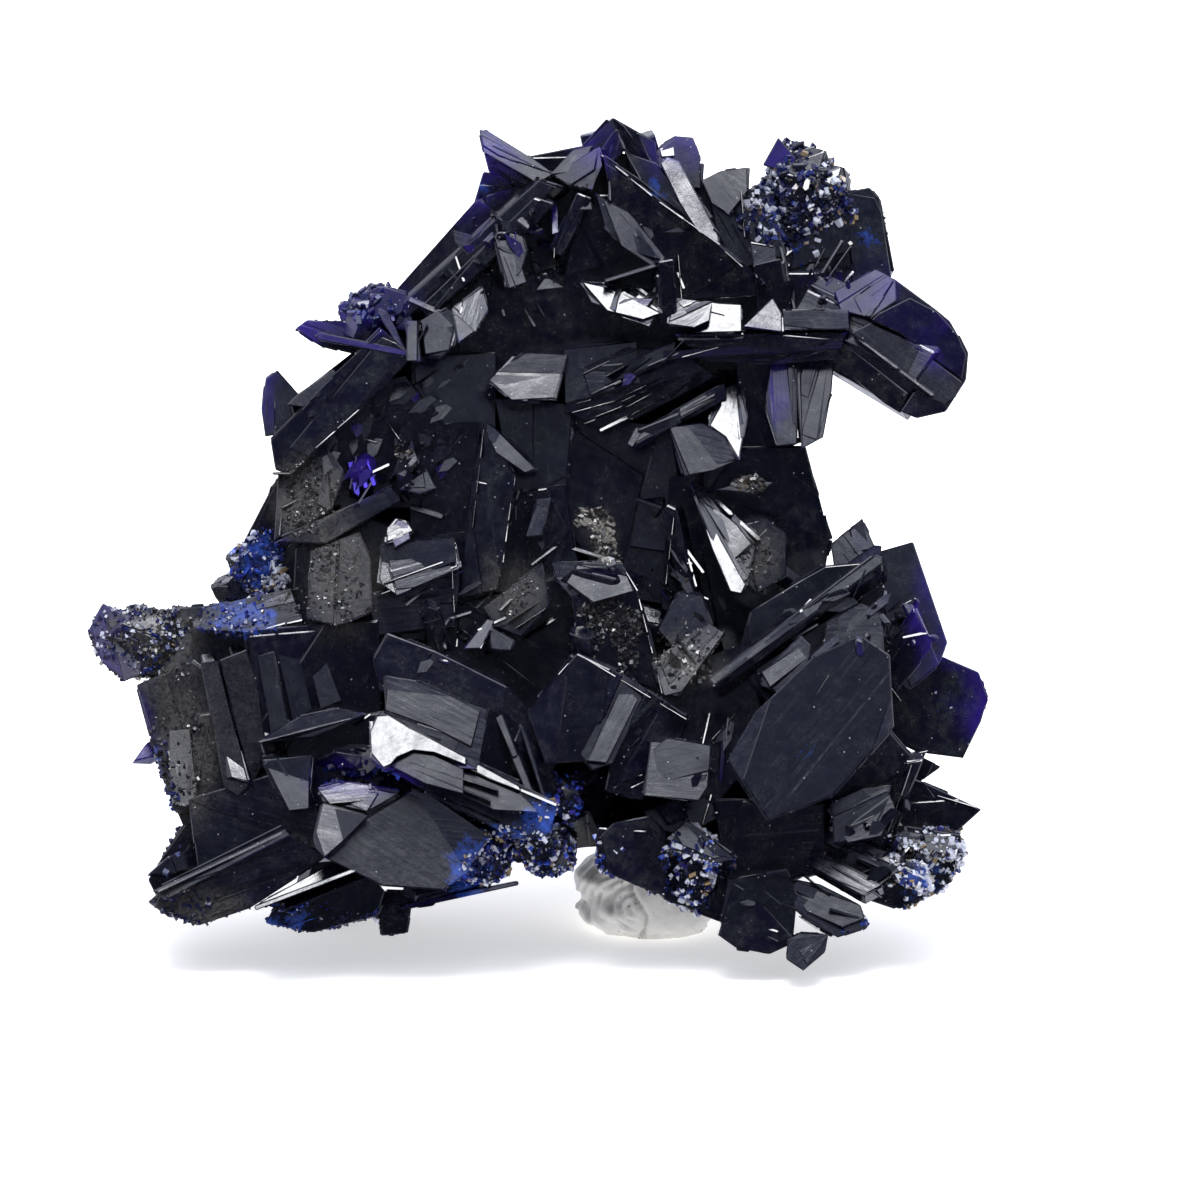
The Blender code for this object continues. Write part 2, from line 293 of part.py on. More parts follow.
FRONT_BLADES = (
    Blade((-17.4, 13.0, 2.0), (-15.7, 6.9, 4.8), 1.1, 1.4, (0.05, 0.04), "slant_left", (0.2, 0.3)),
    Blade((-16.2, 13.4, 2.0), (-14.3, 8.0, 4.4), 1.0, 1.4, (0.10, -0.06), "slant_left", (0.2, 0.2)),
    Blade((-18.6, 12.4, 1.4), (-18.1, 6.0, 3.8), 1.2, 1.4, (-0.18, 0.02), "blunt"),
    Blade((-18.4, 9.4, 0.6), (-20.65, 8.15, 2.4), 0.8, 0.9, (-0.2, 0.1), "spear"),
    Blade((-15.6, 4.8, 2.4), (-19.9, 3.2, 3.8), 0.9, 1.2, (-0.2, 0.0), "spear"),
    Blade((-5.0, 3.0, 3.8), (-8.6, 2.3, 5.0), 0.7, 1.0, (0.0, 0.50), "slant_right"),
)
LEFT_BLADES = (
    Blade((-8.8, 27.4, 0.6), (-13.75, 23.3, 3.0), 0.9, 1.0, (-0.26, 0.26), "slant_left"),
    Blade((-8.8, 26.4, 1.2), (-11.0, 27.5, 3.0), 1.1, 1.2, (-0.10, 0.05), "blunt"),
    Blade((-10.6, 19.4, 1.6), (-10.4, 21.5, 3.6), 1.1, 1.0, (-0.1, -0.1), "roof"),
    Blade((-14.0, 16.6, 0.0), (-16.2, 17.3, 1.6), 1.2, 1.4, (-0.20, 0.20), "roof"),
    Blade((-14.4, 15.4, 0.0), (-16.9, 16.0, 1.6), 1.2, 1.4, (-0.16, 0.25), "roof"),
)

# The crystal behind the lower left end, whose tip is a foot of the cluster.
FOOT_BLADES = (
    Blade((-10.5, 7.6, -2.5), (-12.0, 1.75, -5.6), 3.4, 3.0, (-0.20, -0.10), "blunt", (0.6, 0.6)),
)

# The core that every crystal roots in, as rough lumps: centre (right, up, out), and half sizes.
CORE_LUMPS = (
    Lump((3.6, 30.2, -2.4), (6.4, 3.0, 3.0)),
    Lump((-4.6, 29.0, -2.2), (4.6, 3.0, 2.8)),
    Lump((3.8, 25.0, -2.6), (6.4, 4.6, 4.6)),
    Lump((-7.0, 24.0, -2.6), (5.2, 3.8, 4.2)),
    Lump((-0.6, 19.4, -3.0), (6.8, 5.4, 5.2)),
    Lump((6.4, 18.6, -2.8), (3.4, 4.6, 4.6)),
    Lump((-9.2, 18.4, -2.6), (5.4, 4.6, 4.8)),
    Lump((-11.4, 13.2, -2.4), (5.6, 4.2, 4.8)),
    Lump((1.2, 13.6, -2.4), (7.0, 5.2, 5.8)),
    Lump((9.4, 12.0, -1.8), (4.4, 4.6, 5.0)),
    Lump((-12.0, 7.4, -1.6), (5.6, 4.6, 5.0)),
    Lump((-3.4, 8.0, -1.6), (7.4, 4.8, 6.2)),
    Lump((7.4, 6.6, -1.2), (6.4, 4.6, 5.6)),
)

# Rough ends and bases with no crystal faces of their own.
ROUGH_LUMPS = (
    Lump((8.8, 33.6, 0.2), (2.1, 2.2, 1.8)),
    Lump((10.0, 33.6, 0.4), (1.2, 1.2, 1.2)),
    Lump((0.1, 18.2, 3.2), (0.9, 1.6, 1.2)),
    Lump((-0.1, 16.2, 5.0), (1.9, 0.9, 1.5)),
    Lump((-10.4, 8.3, 4.4), (2.2, 0.8, 1.6)),
    Lump((-5.2, 4.2, 4.4), (1.5, 1.5, 1.4)),
    Lump((-2.3, 4.4, 4.0), (1.4, 1.6, 1.4)),
    Lump((-1.3, 6.8, 4.6), (0.9, 1.4, 1.3)),
    Lump((4.1, 3.6, 4.8), (1.3, 1.8, 1.6)),
    Lump((-20.2, 13.6, 1.6), (2.1, 1.6, 1.6)),
    Lump((-18.4, 14.2, 1.0), (1.2, 0.9, 1.4)),
    Lump((-18.6, 2.2, 4.4), (1.2, 0.8, 1.2)),
    Lump((-10.6, 28.2, 1.4), (0.9, 0.7, 0.8)),
)


def solid_from_points(points):
    """The convex solid around the points, as a new mesh in a bmesh of its own."""
    solid = bmesh.new()
    for point in points:
        solid.verts.new(point)
    hull = bmesh.ops.convex_hull(solid, input=solid.verts)
    leftover = [v for v in hull["geom_interior"] if isinstance(v, bmesh.types.BMVert)]
    leftover += [v for v in hull["geom_unused"] if isinstance(v, bmesh.types.BMVert)]
    bmesh.ops.delete(solid, geom=list(set(leftover)), context="VERTS")
    bmesh.ops.dissolve_limit(solid, angle_limit=FLAT_ANGLE, verts=solid.verts, edges=solid.edges)
    return solid


def on_display(right, up, out):
    """A point of the display face, in metres in the upright frame."""
    return Matrix.Rotation(-LEAN, 3, "X") @ Vector((right, -out, up)) * MM


def facing_normal(facing):
    """The unit vector (right, up, out) whose first two parts are given."""
    right, up = facing
    return Vector((right, up, math.sqrt(max(0.0, 1.0 - right * right - up * up))))


def plate_points(plate, dice):
    """A tabular crystal: its face, and the narrower root that it stands on behind the face."""
    normal = facing_normal(plate.facing)
    count = len(plate.outline)
    middle = Vector((sum(p[0] for p in plate.outline) / count, sum(p[1] for p in plate.outline) / count))
    centre = Vector((middle.x, middle.y, plate.out))
    points = []
    for right, up in plate.outline:
        tilt = (normal.x * (right - middle.x) + normal.y * (up - middle.y)) / normal.z
        uneven = Vector((dice.uniform(-UNEVEN, UNEVEN), dice.uniform(-UNEVEN, UNEVEN), 0.0))
        corner = Vector((right - middle.x, up - middle.y, -tilt)) * OVERLAP + uneven
        points.append(centre + corner)
        points.append(centre + corner * ROOT_TAPER - Vector((0.0, 0.0, ROOT_DEPTH)))
    return points


def end_drop(end, across, width):
    """How far the end of a prismatic crystal falls short of its tip, at a distance across its face."""
    half = width / 2.0
    if end == "slant_left":
        return SLANT_SLOPE * (half - across)
    if end == "slant_right":
        return SLANT_SLOPE * (half + across)
    if end == "roof":
        return ROOF_SLOPE * abs(across)
    if end == "spear":
        return SPEAR_SLOPE * abs(across)
    return BLUNT_SLOPE * (half - across)


def blade_points(blade):
    """A prismatic crystal from its root to its tip, its cross-section turned to the way it faces."""
    root = Vector(blade.root)
    tip = Vector(blade.tip)
    axis = (tip - root).normalized()
    normal = facing_normal(blade.facing)
    normal = (normal - axis * normal.dot(axis)).normalized()
    side = axis.cross(normal)
    if side.x < 0.0:
        side.negate()
    half_width = blade.width / 2.0
    half_depth = blade.thickness / 2.0
    cut_in, cut_down = blade.edges
    corners = [(half_width, -half_depth), (half_width, half_depth - cut_down)]
    if cut_in:
        corners.append((half_width - cut_in, half_depth))
    points = []
    for across, depth in corners:
        for sign in (-1.0, 1.0):
            place = side * across * sign + normal * depth
            drop = end_drop(blade.end, across * sign, blade.width)
            narrowing = 1.0 - (1.0 - BLADE_TAPER) * drop / (tip - root).length
            points.append(root + place * BLADE_TAPER)
            points.append(tip + place * narrowing - axis * drop)
    if blade.end in ("roof", "spear"):
        ridge = half_depth if blade.end == "roof" else half_depth * SPEAR_RIDGE
        points.append(tip + normal * ridge)
        points.append(tip - normal * ridge)
    return points


def lump_points(lump, dice, count):
    """A rough lump: points spread evenly over an ellipsoid, each a little out of place."""
    points = []
    for index in range(count):
        height = 1.0 - 2.0 * (index + 0.5) / count
        radius = math.sqrt(1.0 - height * height)
        turn = index * math.pi * (3.0 - math.sqrt(5.0))
        reach = 1.0 + dice.uniform(-ROUGHNESS, ROUGHNESS)
        spot = (radius * math.cos(turn), radius * math.sin(turn), height)
        points.append(Vector([c + h * s * reach for c, h, s in zip(lump.centre, lump.half, spot)]))
    return points


def back_blades(dice):
    """Prismatic crystals over the back of each core lump, all pointing backwards and outwards."""
    blades = []
    for lump in CORE_LUMPS:
        centre = Vector(lump.centre)
        for index in range(BACK_PER_LUMP):
            turn = 2.0 * math.pi * (index + dice.uniform(-BACK_TURN, BACK_TURN)) / BACK_PER_LUMP
            slope = dice.uniform(*BACK_SLOPE)
            way = Vector((math.cos(turn) * slope, math.sin(turn) * slope, -math.sqrt(1.0 - slope * slope)))
            reach = Vector([h * w for h, w in zip(lump.half, way)]).length + dice.uniform(*BACK_REACH)
            tip = centre + way * reach
            if on_display(*tip).z < BACK_CLEARANCE * MM:
                continue
            width = dice.uniform(*BACK_WIDTH)
            end = dice.choice(("blunt", "slant_left", "slant_right", "roof"))
            facing = (way.x * 0.6 + dice.uniform(-0.3, 0.3), way.y * 0.6 + dice.uniform(-0.3, 0.3))
            blades.append(Blade(centre, tip, width, width * BACK_FLATNESS, facing, end, BACK_EDGES))
    return blades


def height_of(shell):
    """How tall a set of vertices is."""
    heights = [vert.co.z for vert in shell]
    return max(heights) - min(heights)


def outermost_shell(mesh):
    """Keeps the tallest closed surface of a mesh, which drops the pockets sealed inside it."""
    work = bmesh.new()
    work.from_mesh(mesh)
    unseen = set(work.verts)
    shells = []
    while unseen:
        start = unseen.pop()
        shell = {start}
        queue = [start]
        while queue:
            for edge in queue.pop().link_edges:
                for vert in edge.verts:
                    if vert in unseen:
                        unseen.remove(vert)
                        shell.add(vert)
                        queue.append(vert)
        shells.append(shell)
    outermost = max(shells, key=height_of)
    extra = [v for shell in shells if shell is not outermost for v in shell]
    bmesh.ops.delete(work, geom=extra, context="VERTS")
    bmesh.ops.dissolve_limit(work, angle_limit=FLAT_ANGLE, verts=work.verts, edges=work.edges)
    work.to_mesh(mesh)
    work.free()


def joined_mesh(name, solids):
    """One mesh that holds all the given solids, which still pass through each other."""
    everything = bmesh.new()
    for points in solids:
        solid = solid_from_points(points)
        part = bpy.data.meshes.new(name)
        solid.to_mesh(part)
        solid.free()
        everything.from_mesh(part)
        bpy.data.meshes.remove(part)
    mesh = bpy.data.meshes.new(name)
    everything.to_mesh(mesh)
    everything.free()
    return mesh


def cutter_object(name, mesh):
    """An object in the cutters' collection, kept out of the model itself."""
    cutter = bpy.data.objects.new(name, mesh)
    cutter.hide_render = True
    cutter.display_type = "WIRE"
    bpy.data.collections["cutters"].objects.link(cutter)
    return cutter


def apply_boolean(obj, tool, operation):
    """Joins the tool to the object, or cuts it out, for good. The tool's solids may cross each other."""
    boolean = obj.modifiers.new(operation, "BOOLEAN")
    boolean.operation = operation
    boolean.object = tool
    boolean.solver = "EXACT"
    boolean.use_self = True
    bpy.context.view_layer.update()
    graph = bpy.context.evaluated_depsgraph_get()
    result = bpy.data.meshes.new_from_object(obj.evaluated_get(graph))
    obj.modifiers.clear()
    obj.data = result


def stone_material():
    """Glossy, nearly black blue azurite."""
    return plain_material("azurite", (0.012, 0.014, 0.045, 1.0), 0.18)


def putty_material():
    """Dull off-white putty."""
    return plain_material("putty", (0.62, 0.62, 0.60, 1.0), 0.75)


def plain_material(name, colour, roughness):
    """A Principled material with one colour and one roughness, and no metal in it."""
    material = bpy.data.materials.new(name)
    material.use_nodes = True
    shader = material.node_tree.nodes["Principled BSDF"]
    shader.inputs["Base Color"].default_value = colour
    shader.inputs["Roughness"].default_value = roughness
    shader.inputs["Metallic"].default_value = 0.0
    material.diffuse_color = colour
    return material


def crystal_solids(dice):
    """The points of every solid in the cluster, in millimetres (right, up, out)."""
    plates = TOP_PLATES + STRIP_PLATES + CENTRE_PLATES + RIGHT_PLATES + FRONT_PLATES + LEFT_PLATES
    blades = TOP_BLADES + UPPER_RIGHT_BLADES + CENTRE_BLADES + RIGHT_BLADES + FRONT_BLADES + LEFT_BLADES
    blades = blades + FOOT_BLADES + tuple(back_blades(dice))
    solids = [lump_points(lump, dice, CORE_CORNERS) for lump in CORE_LUMPS]
    solids += [lump_points(lump, dice, ROUGH_CORNERS) for lump in ROUGH_LUMPS]
    solids += [plate_points(plate, dice) for plate in plates]
    solids += [blade_points(blade) for blade in blades]
    return solids


def make_cluster(collection, solids):
    """The cluster: all its crystals and its rough core, fused into one closed solid."""
    places = [[on_display(*point) for point in points] for points in solids]
    cluster = bpy.data.objects.new("azurite_cluster", joined_mesh("azurite_cluster", places[:1]))
    collection.objects.link(cluster)
    others = cutter_object("crystals", joined_mesh("crystals", places[1:]))
    apply_boolean(cluster, others, "UNION")
    outermost_shell(cluster.data)
    cluster.data.materials.clear()
    cluster.data.materials.append(stone_material())
    return cluster


def putty_blob():
    """The lump of putty before the crystals press into it: low, rounded, creased and flat below."""
    bpy.ops.mesh.primitive_ico_sphere_add(subdivisions=PUTTY_DETAIL, radius=1.0)
    blob = bpy.context.object
    blob.name = "mounting_putty"
    width, depth, height = PUTTY_SIZE
    for vert in blob.data.vertices:
        across, back, up = vert.co
        fold = 1.0 - math.cos(PUTTY_FOLDS * math.pi * (up + FOLD_SLANT * across))
        crease = 1.0 - FOLD_DEPTH * fold * max(0.0, FOLD_LIMIT - across)
        bulge = 1.0 + BULGE * math.sin(3.1 * across + 1.7 * back + 0.6)
        spread = 1.0 + SPREAD * max(0.0, -up)
        vert.co.x = across * width / 2.0 * crease * bulge * spread
        vert.co.y = back * depth / 2.0 * crease * spread
        vert.co.z = max(up * bulge, -PUTTY_FLAT) * height / 2.0
    blob.data.transform(Matrix.Scale(MM, 4))
    return blob


def lowest(solids):
    """The height of the lowest corner of any crystal, in metres."""
    return min(on_display(*point).z for points in solids for point in points)


def seat_solids(solids):
    """The crystals that reach down to the putty, each grown all round by the seat's clearance."""
    reach = lowest(solids) + (PUTTY_SIZE[2] + SEAT_REACH) * MM
    spread = [Vector(way).normalized() * SEAT_GAP for way in SPREAD_WAYS]
    near = [points for points in solids if lowest([points]) < reach]
    return [[on_display(*(Vector(point) + way)) for point in points for way in spread] for points in near]


def make_putty(collection, solids):
    """The putty: its blob with the crystals' seats pressed into its top."""
    putty = putty_blob()
    for home in list(putty.users_collection):
        home.objects.unlink(putty)
    collection.objects.link(putty)
    right, back = PUTTY_CENTRE
    lift = PUTTY_FLAT * PUTTY_SIZE[2] / 2.0
    place = Vector((right, back, lift)) * MM + Vector((0.0, 0.0, lowest(solids)))
    putty.data.transform(Matrix.Translation(place))
    seats = cutter_object("seats", joined_mesh("seats", seat_solids(solids)))
    apply_boolean(putty, seats, "DIFFERENCE")
    outermost_shell(putty.data)
    putty.data.materials.clear()
    putty.data.materials.append(putty_material())
    return putty


def stand_on_origin(pieces):
    """Moves the pieces together so that the middle of their box's bottom lies on the origin."""
    spots = [piece.matrix_world @ v.co for piece in pieces for v in piece.data.vertices]
    low = Vector([min(spot[i] for spot in spots) for i in range(3)])
    high = Vector([max(spot[i] for spot in spots) for i in range(3)])
    shift = Vector((-(low.x + high.x) / 2.0, -(low.y + high.y) / 2.0, -low.z))
    for piece in pieces:
        piece.data.transform(Matrix.Translation(shift))


def main():
    """Builds the two pieces of the specimen."""
    for obj in list(bpy.data.objects):
        bpy.data.objects.remove(obj)
    collection = bpy.data.collections.new("azurite_specimen")
    cutters = bpy.data.collections.new("cutters")
    bpy.context.scene.collection.children.link(collection)
    bpy.context.scene.collection.children.link(cutters)
    dice = random.Random(SEED)
    solids = crystal_solids(dice)
    cluster = make_cluster(collection, solids)
    putty = make_putty(collection, solids)
    stand_on_origin((cluster, putty))


main()
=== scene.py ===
"""The looks of the azurite specimen: bevelled, striated crystals, druse, matrix grains and creased putty."""
import math
import random
from collections import namedtuple

import bmesh
import bpy
import numpy as np
from mathutils import Matrix, Vector, noise
from mathutils.bvhtree import BVHTree
from mathutils.geometry import convex_hull_2d


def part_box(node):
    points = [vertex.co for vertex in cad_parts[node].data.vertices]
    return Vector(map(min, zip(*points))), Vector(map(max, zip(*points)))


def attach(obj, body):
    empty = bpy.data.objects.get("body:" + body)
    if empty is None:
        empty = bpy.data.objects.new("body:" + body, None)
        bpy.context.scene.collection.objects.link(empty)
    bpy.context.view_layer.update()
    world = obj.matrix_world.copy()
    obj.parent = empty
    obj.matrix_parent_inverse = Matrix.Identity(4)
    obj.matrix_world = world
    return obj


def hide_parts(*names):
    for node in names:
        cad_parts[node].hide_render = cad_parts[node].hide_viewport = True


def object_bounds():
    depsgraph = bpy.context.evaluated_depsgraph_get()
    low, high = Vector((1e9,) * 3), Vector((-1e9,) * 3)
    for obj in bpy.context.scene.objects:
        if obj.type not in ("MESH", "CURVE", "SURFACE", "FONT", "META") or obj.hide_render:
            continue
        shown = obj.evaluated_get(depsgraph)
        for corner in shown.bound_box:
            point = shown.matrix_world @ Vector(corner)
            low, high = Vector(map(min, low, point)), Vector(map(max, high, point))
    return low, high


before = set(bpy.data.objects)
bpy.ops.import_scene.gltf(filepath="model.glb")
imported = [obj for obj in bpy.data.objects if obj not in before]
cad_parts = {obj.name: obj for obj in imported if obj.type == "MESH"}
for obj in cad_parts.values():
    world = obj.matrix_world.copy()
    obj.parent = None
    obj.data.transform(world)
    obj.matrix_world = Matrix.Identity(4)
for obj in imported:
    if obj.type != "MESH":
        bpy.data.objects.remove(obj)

MM = 0.001
CAD_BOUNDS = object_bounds()

# The display face leans back by LEAN. Places on it are (right, up, out) in millimetres from its zero.
LEAN = math.radians(12.0)
TILT = Matrix.Rotation(-LEAN, 3, "X")
ZERO_FROM_CORNER = Vector((22.614, 7.896, 0.114)) * MM    # from the cluster's lowest corner
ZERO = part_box("azurite_cluster")[0] + ZERO_FROM_CORNER

# Camera: the view's height and the distance, in millimetres.
VIEW_HEIGHT = 15.33
VIEW_DISTANCE = 400.0
LENS = 270.0
SENSOR = 36.0

# Faces of the crystals.
WELD = 0.004 * MM
FLAT_ANGLE = math.radians(0.6)
EDGE_STEP = 0.45                # a long edge gets a point this often, in millimetres
BEVEL = 0.055                   # the worn width of a crystal's edges
SHARP = math.radians(16.0)      # flatter edges than this one aren't worn
WORN_MOST = 0.45                # no edge is worn back further than this part of the sides next to it
WORN_REACH = 2.2                # and no corner moves by more than this many widths
STRAIGHT_ON = 0.95              # the cosine of two edges that nearly run on in one line
DOUBLED_BACK = -0.90            # and of two that nearly double back
FACE_STEP = 0.9                 # the longest side of a triangle inside a face
STEP_STEP = 1.6                 # the same in growth steps and lines
REFINE_PASSES = 5               # how often long sides are cut, at most
FRONT = 60.0                    # out before everything, in millimetres
PLANE_TURN = math.cos(math.radians(1.5))
PLANE_SHIFT = 0.03              # parts of a face are in one plane when they are closer than this
NEAR_PARTS = 1.2                # and nearer to each other than this
THIN_DEPTH = 1.5                # stone thinner than this lets blue light through
THIN_START = 0.02               # how far inside the thickness is measured from
THIN_RAYS = 8                   # and along how many directions
THIN_SPREAD = 0.9               # how far all but the first lean outwards
SLAB_ROOT = 0.05                # how deep a growth step reaches into its face
SLAB_LEAST = 0.012              # its least height
AIR = 0.06                      # its edge may be this far from the cluster
SLIVER = 0.004                  # smaller slabs are left out, in square millimetres
LEAST_SHEET = 0.7               # smaller faces have no growth steps, in square millimetres
LARGE_SHEET = 12.0              # larger faces have fainter ones
CRYSTAL_RING = ((1.0, 0.3), (0.4, 0.6), (-0.6, 0.6), (-1.0, -0.1), (-0.5, -0.6), (0.7, -0.5))
CRYSTAL_SLANT = (0.2, 0.9)      # how far a small crystal's end slants, in widths
CRYSTAL_ROOT = 0.3              # the part of its length that is sunk
CRYSTAL_TAPER = (1.05, 0.92)    # the size of its root and its end

# Light: the sky's brightness by height, what lies behind, and glows: their direction (right, up, out),
# half angles of their bright part and their edge, and their brightness.
SKY = ((0.0, 0.03), (0.21, 0.05), (0.40, 0.22), (0.60, 0.42), (0.80, 0.80), (1.0, 1.5))
BEHIND = 1.0
FLOOR_GLOW = 0.54
GLOWS = (
    ((0.0, 0.80, 0.45), 12.0, 40.0, 1.6), ((-0.75, 0.30, 0.30), 5.0, 28.0, 0.5),
    ((0.8, 0.35, 0.20), 5.0, 25.0, 0.4),
)

AZURITE_IOR = 1.76

# Putty: the size of its grid, its smoothing, the height of its foot, and its folds.
PUTTY_VOXEL = 0.12
PUTTY_SMOOTHING = 6
PUTTY_REST = 0.12
CREASE_MIDDLE = (1.7, 1.7)
CREASE_GAP = 0.46
CREASE_RAGGED = 0.25            # how far the folds stray from their rings
CREASE_DEPTH = 0.055
SEAM_DEPTH = 0.20               # the seam that the folds run to
SEAM_WIDTH = 0.13
SEAM_SWAY = 0.35
DENT_DEPTH = 0.16               # the wide dents
DENT_SPOT = Vector((3.0, 7.0, 1.0))
PUTTY_GRAIN = 0.03              # and the finest ones

# Zones of the display face, in millimetres: right, up, and how far they reach each way.
VIOLET_ZONES = (
    (-4.6, 34.8, 1.0, 1.3), (-0.2, 35.4, 0.9, 0.9), (3.4, 35.2, 1.2, 0.9), (15.0, 27.0, 1.2, 1.6),
    (16.6, 11.4, 1.2, 1.9), (-14.8, 24.6, 0.4, 1.2), (-10.3, 28.4, 2.0, 1.2), (-12.6, 27.2, 1.4, 0.5),
    (7.8, 24.6, 0.4, 1.4), (11.6, 29.0, 1.6, 0.9), (-10.4, 20.8, 0.7, 0.9), (-5.6, 32.6, 0.6, 1.4),
    (-10.4, 7.6, 2.2, 0.7), (-21.5, 13.6, 1.4, 1.6), (14.6, 14.6, 0.9, 2.4), (-20.3, 9.0, 0.7, 2.0),
)
DULL_ZONES = (
    (-11.3, 16.3, 1.6, 2.1), (-12.9, 19.8, 1.6, 1.6), (-3.8, 15.6, 1.3, 1.2), (0.1, 18.2, 0.6, 1.1),
    (-20.4, 13.4, 2.6, 1.9), (7.0, 17.2, 0.9, 1.3), (-18.3, 8.6, 1.4, 3.0), (-17.8, 1.9, 2.0, 0.8),
    (3.9, 12.5, 1.4, 1.0),
)
ZONE_REACH = 1.35               # a zone ends at this part of its reach
ZONE_EDGE = 0.5                 # and fades over this part of it
ZONE_BACK = 3.0                 # it ends this far behind the zero of out
ZONE_FADE = 2.0                 # and fades over this much depth
BLUE_ZONES = (
    (-5.7, 3.5, 0.9, 1.4), (-2.6, 5.9, 0.8, 0.8), (-4.0, 5.2, 0.9, 0.4), (-15.7, 14.6, 1.5, 0.7),
    (-15.0, 16.9, 0.8, 1.2), (14.2, 3.2, 0.9, 0.8), (-13.6, 1.3, 1.2, 0.4), (-19.6, 6.5, 0.3, 2.2),
    (11.6, 31.5, 0.25, 0.4), (2.4, 33.3, 0.25, 0.35), (9.1, 9.0, 0.25, 0.3), (-5.2, 33.6, 0.25, 0.3),
)

# Patches of grains: place, reach, how many grains, their size, how blue they are, how many are painted
# pale as glints (a painted highlight), how wildly they point, how proud they stand, how far back they go
# and how much they face the front.
Patch = namedtuple("Patch", "right up wide tall count size blue white wild proud behind least")
DRUSE = (
    Patch(8.8, 33.3, 2.7, 3.1, 3600, (0.07, 0.40), 0.24, 0.26, 0.7, -0.05, -2.5, -0.8),
    Patch(-10.3, 28.3, 1.8, 1.1, 600, (0.08, 0.36), 0.40, 0.03, 0.7, 0.10, -1.5, -0.6),
    Patch(-20.6, 13.5, 2.6, 2.0, 1900, (0.07, 0.24), 0.20, 0.22, 0.6, 0.05, -2.0, -0.8),
    Patch(-15.8, 14.5, 2.2, 0.9, 1500, (0.06, 0.20), 0.60, 0.12, 0.5, 0.02, -1.0, -0.4),
    Patch(-15.3, 16.9, 1.3, 1.7, 1300, (0.07, 0.26), 1.00, 0.20, 0.6, 0.05, -2.0, -0.6),
    Patch(-14.2, 16.3, 0.7, 0.6, 110, (0.14, 0.34), 0.20, 0.75, 0.7, 0.40, 0.0, 0.0),
    Patch(-2.8, 3.9, 4.2, 1.8, 4600, (0.06, 0.26), 0.90, 0.42, 0.6, 0.02, 1.0, -0.6),
    Patch(-1.4, 6.6, 0.9, 1.6, 380, (0.08, 0.26), 0.80, 0.12, 0.6, 0.10, 1.0, -0.3),
    Patch(4.2, 3.4, 1.8, 2.2, 2800, (0.07, 0.32), 0.75, 0.55, 0.7, 0.06, 1.0, -0.6),
    Patch(-12.6, 1.4, 3.4, 0.8, 1100, (0.07, 0.26), 0.35, 0.12, 0.6, 0.02, 0.0, -0.8),
    Patch(-18.2, 1.9, 1.9, 0.9, 420, (0.08, 0.28), 0.04, 0.05, 0.6, 0.05, 0.0, -0.8),
    Patch(-10.4, 7.7, 2.3, 0.6, 420, (0.08, 0.26), 0.40, 0.05, 0.6, 0.10, 1.0, -0.3),
    Patch(-2.8, 6.0, 0.9, 0.9, 800, (0.05, 0.20), 0.90, 0.25, 0.6, 0.00, 1.0, -0.4),
    Patch(-5.3, 3.6, 1.2, 1.3, 1500, (0.06, 0.22), 0.95, 0.35, 0.6, 0.00, 1.0, -0.4),
    Patch(14.4, 3.6, 2.4, 2.0, 3200, (0.07, 0.30), 0.80, 1.00, 0.6, 0.04, 0.0, -0.6),
    Patch(10.8, 1.3, 1.2, 0.6, 160, (0.08, 0.22), 0.50, 0.20, 0.6, 0.05, 0.0, -0.6),
    Patch(-19.2, 6.4, 0.9, 3.2, 420, (0.08, 0.30), 0.40, 0.04, 0.6, 0.10, -2.0, -0.9),
    Patch(15.6, 11.0, 1.6, 1.3, 200, (0.06, 0.20), 0.30, 0.08, 0.6, 0.02, -2.0, -0.4),
    Patch(15.4, 26.4, 1.0, 1.0, 90, (0.06, 0.20), 0.40, 0.05, 0.6, 0.02, -2.0, -0.4),
)
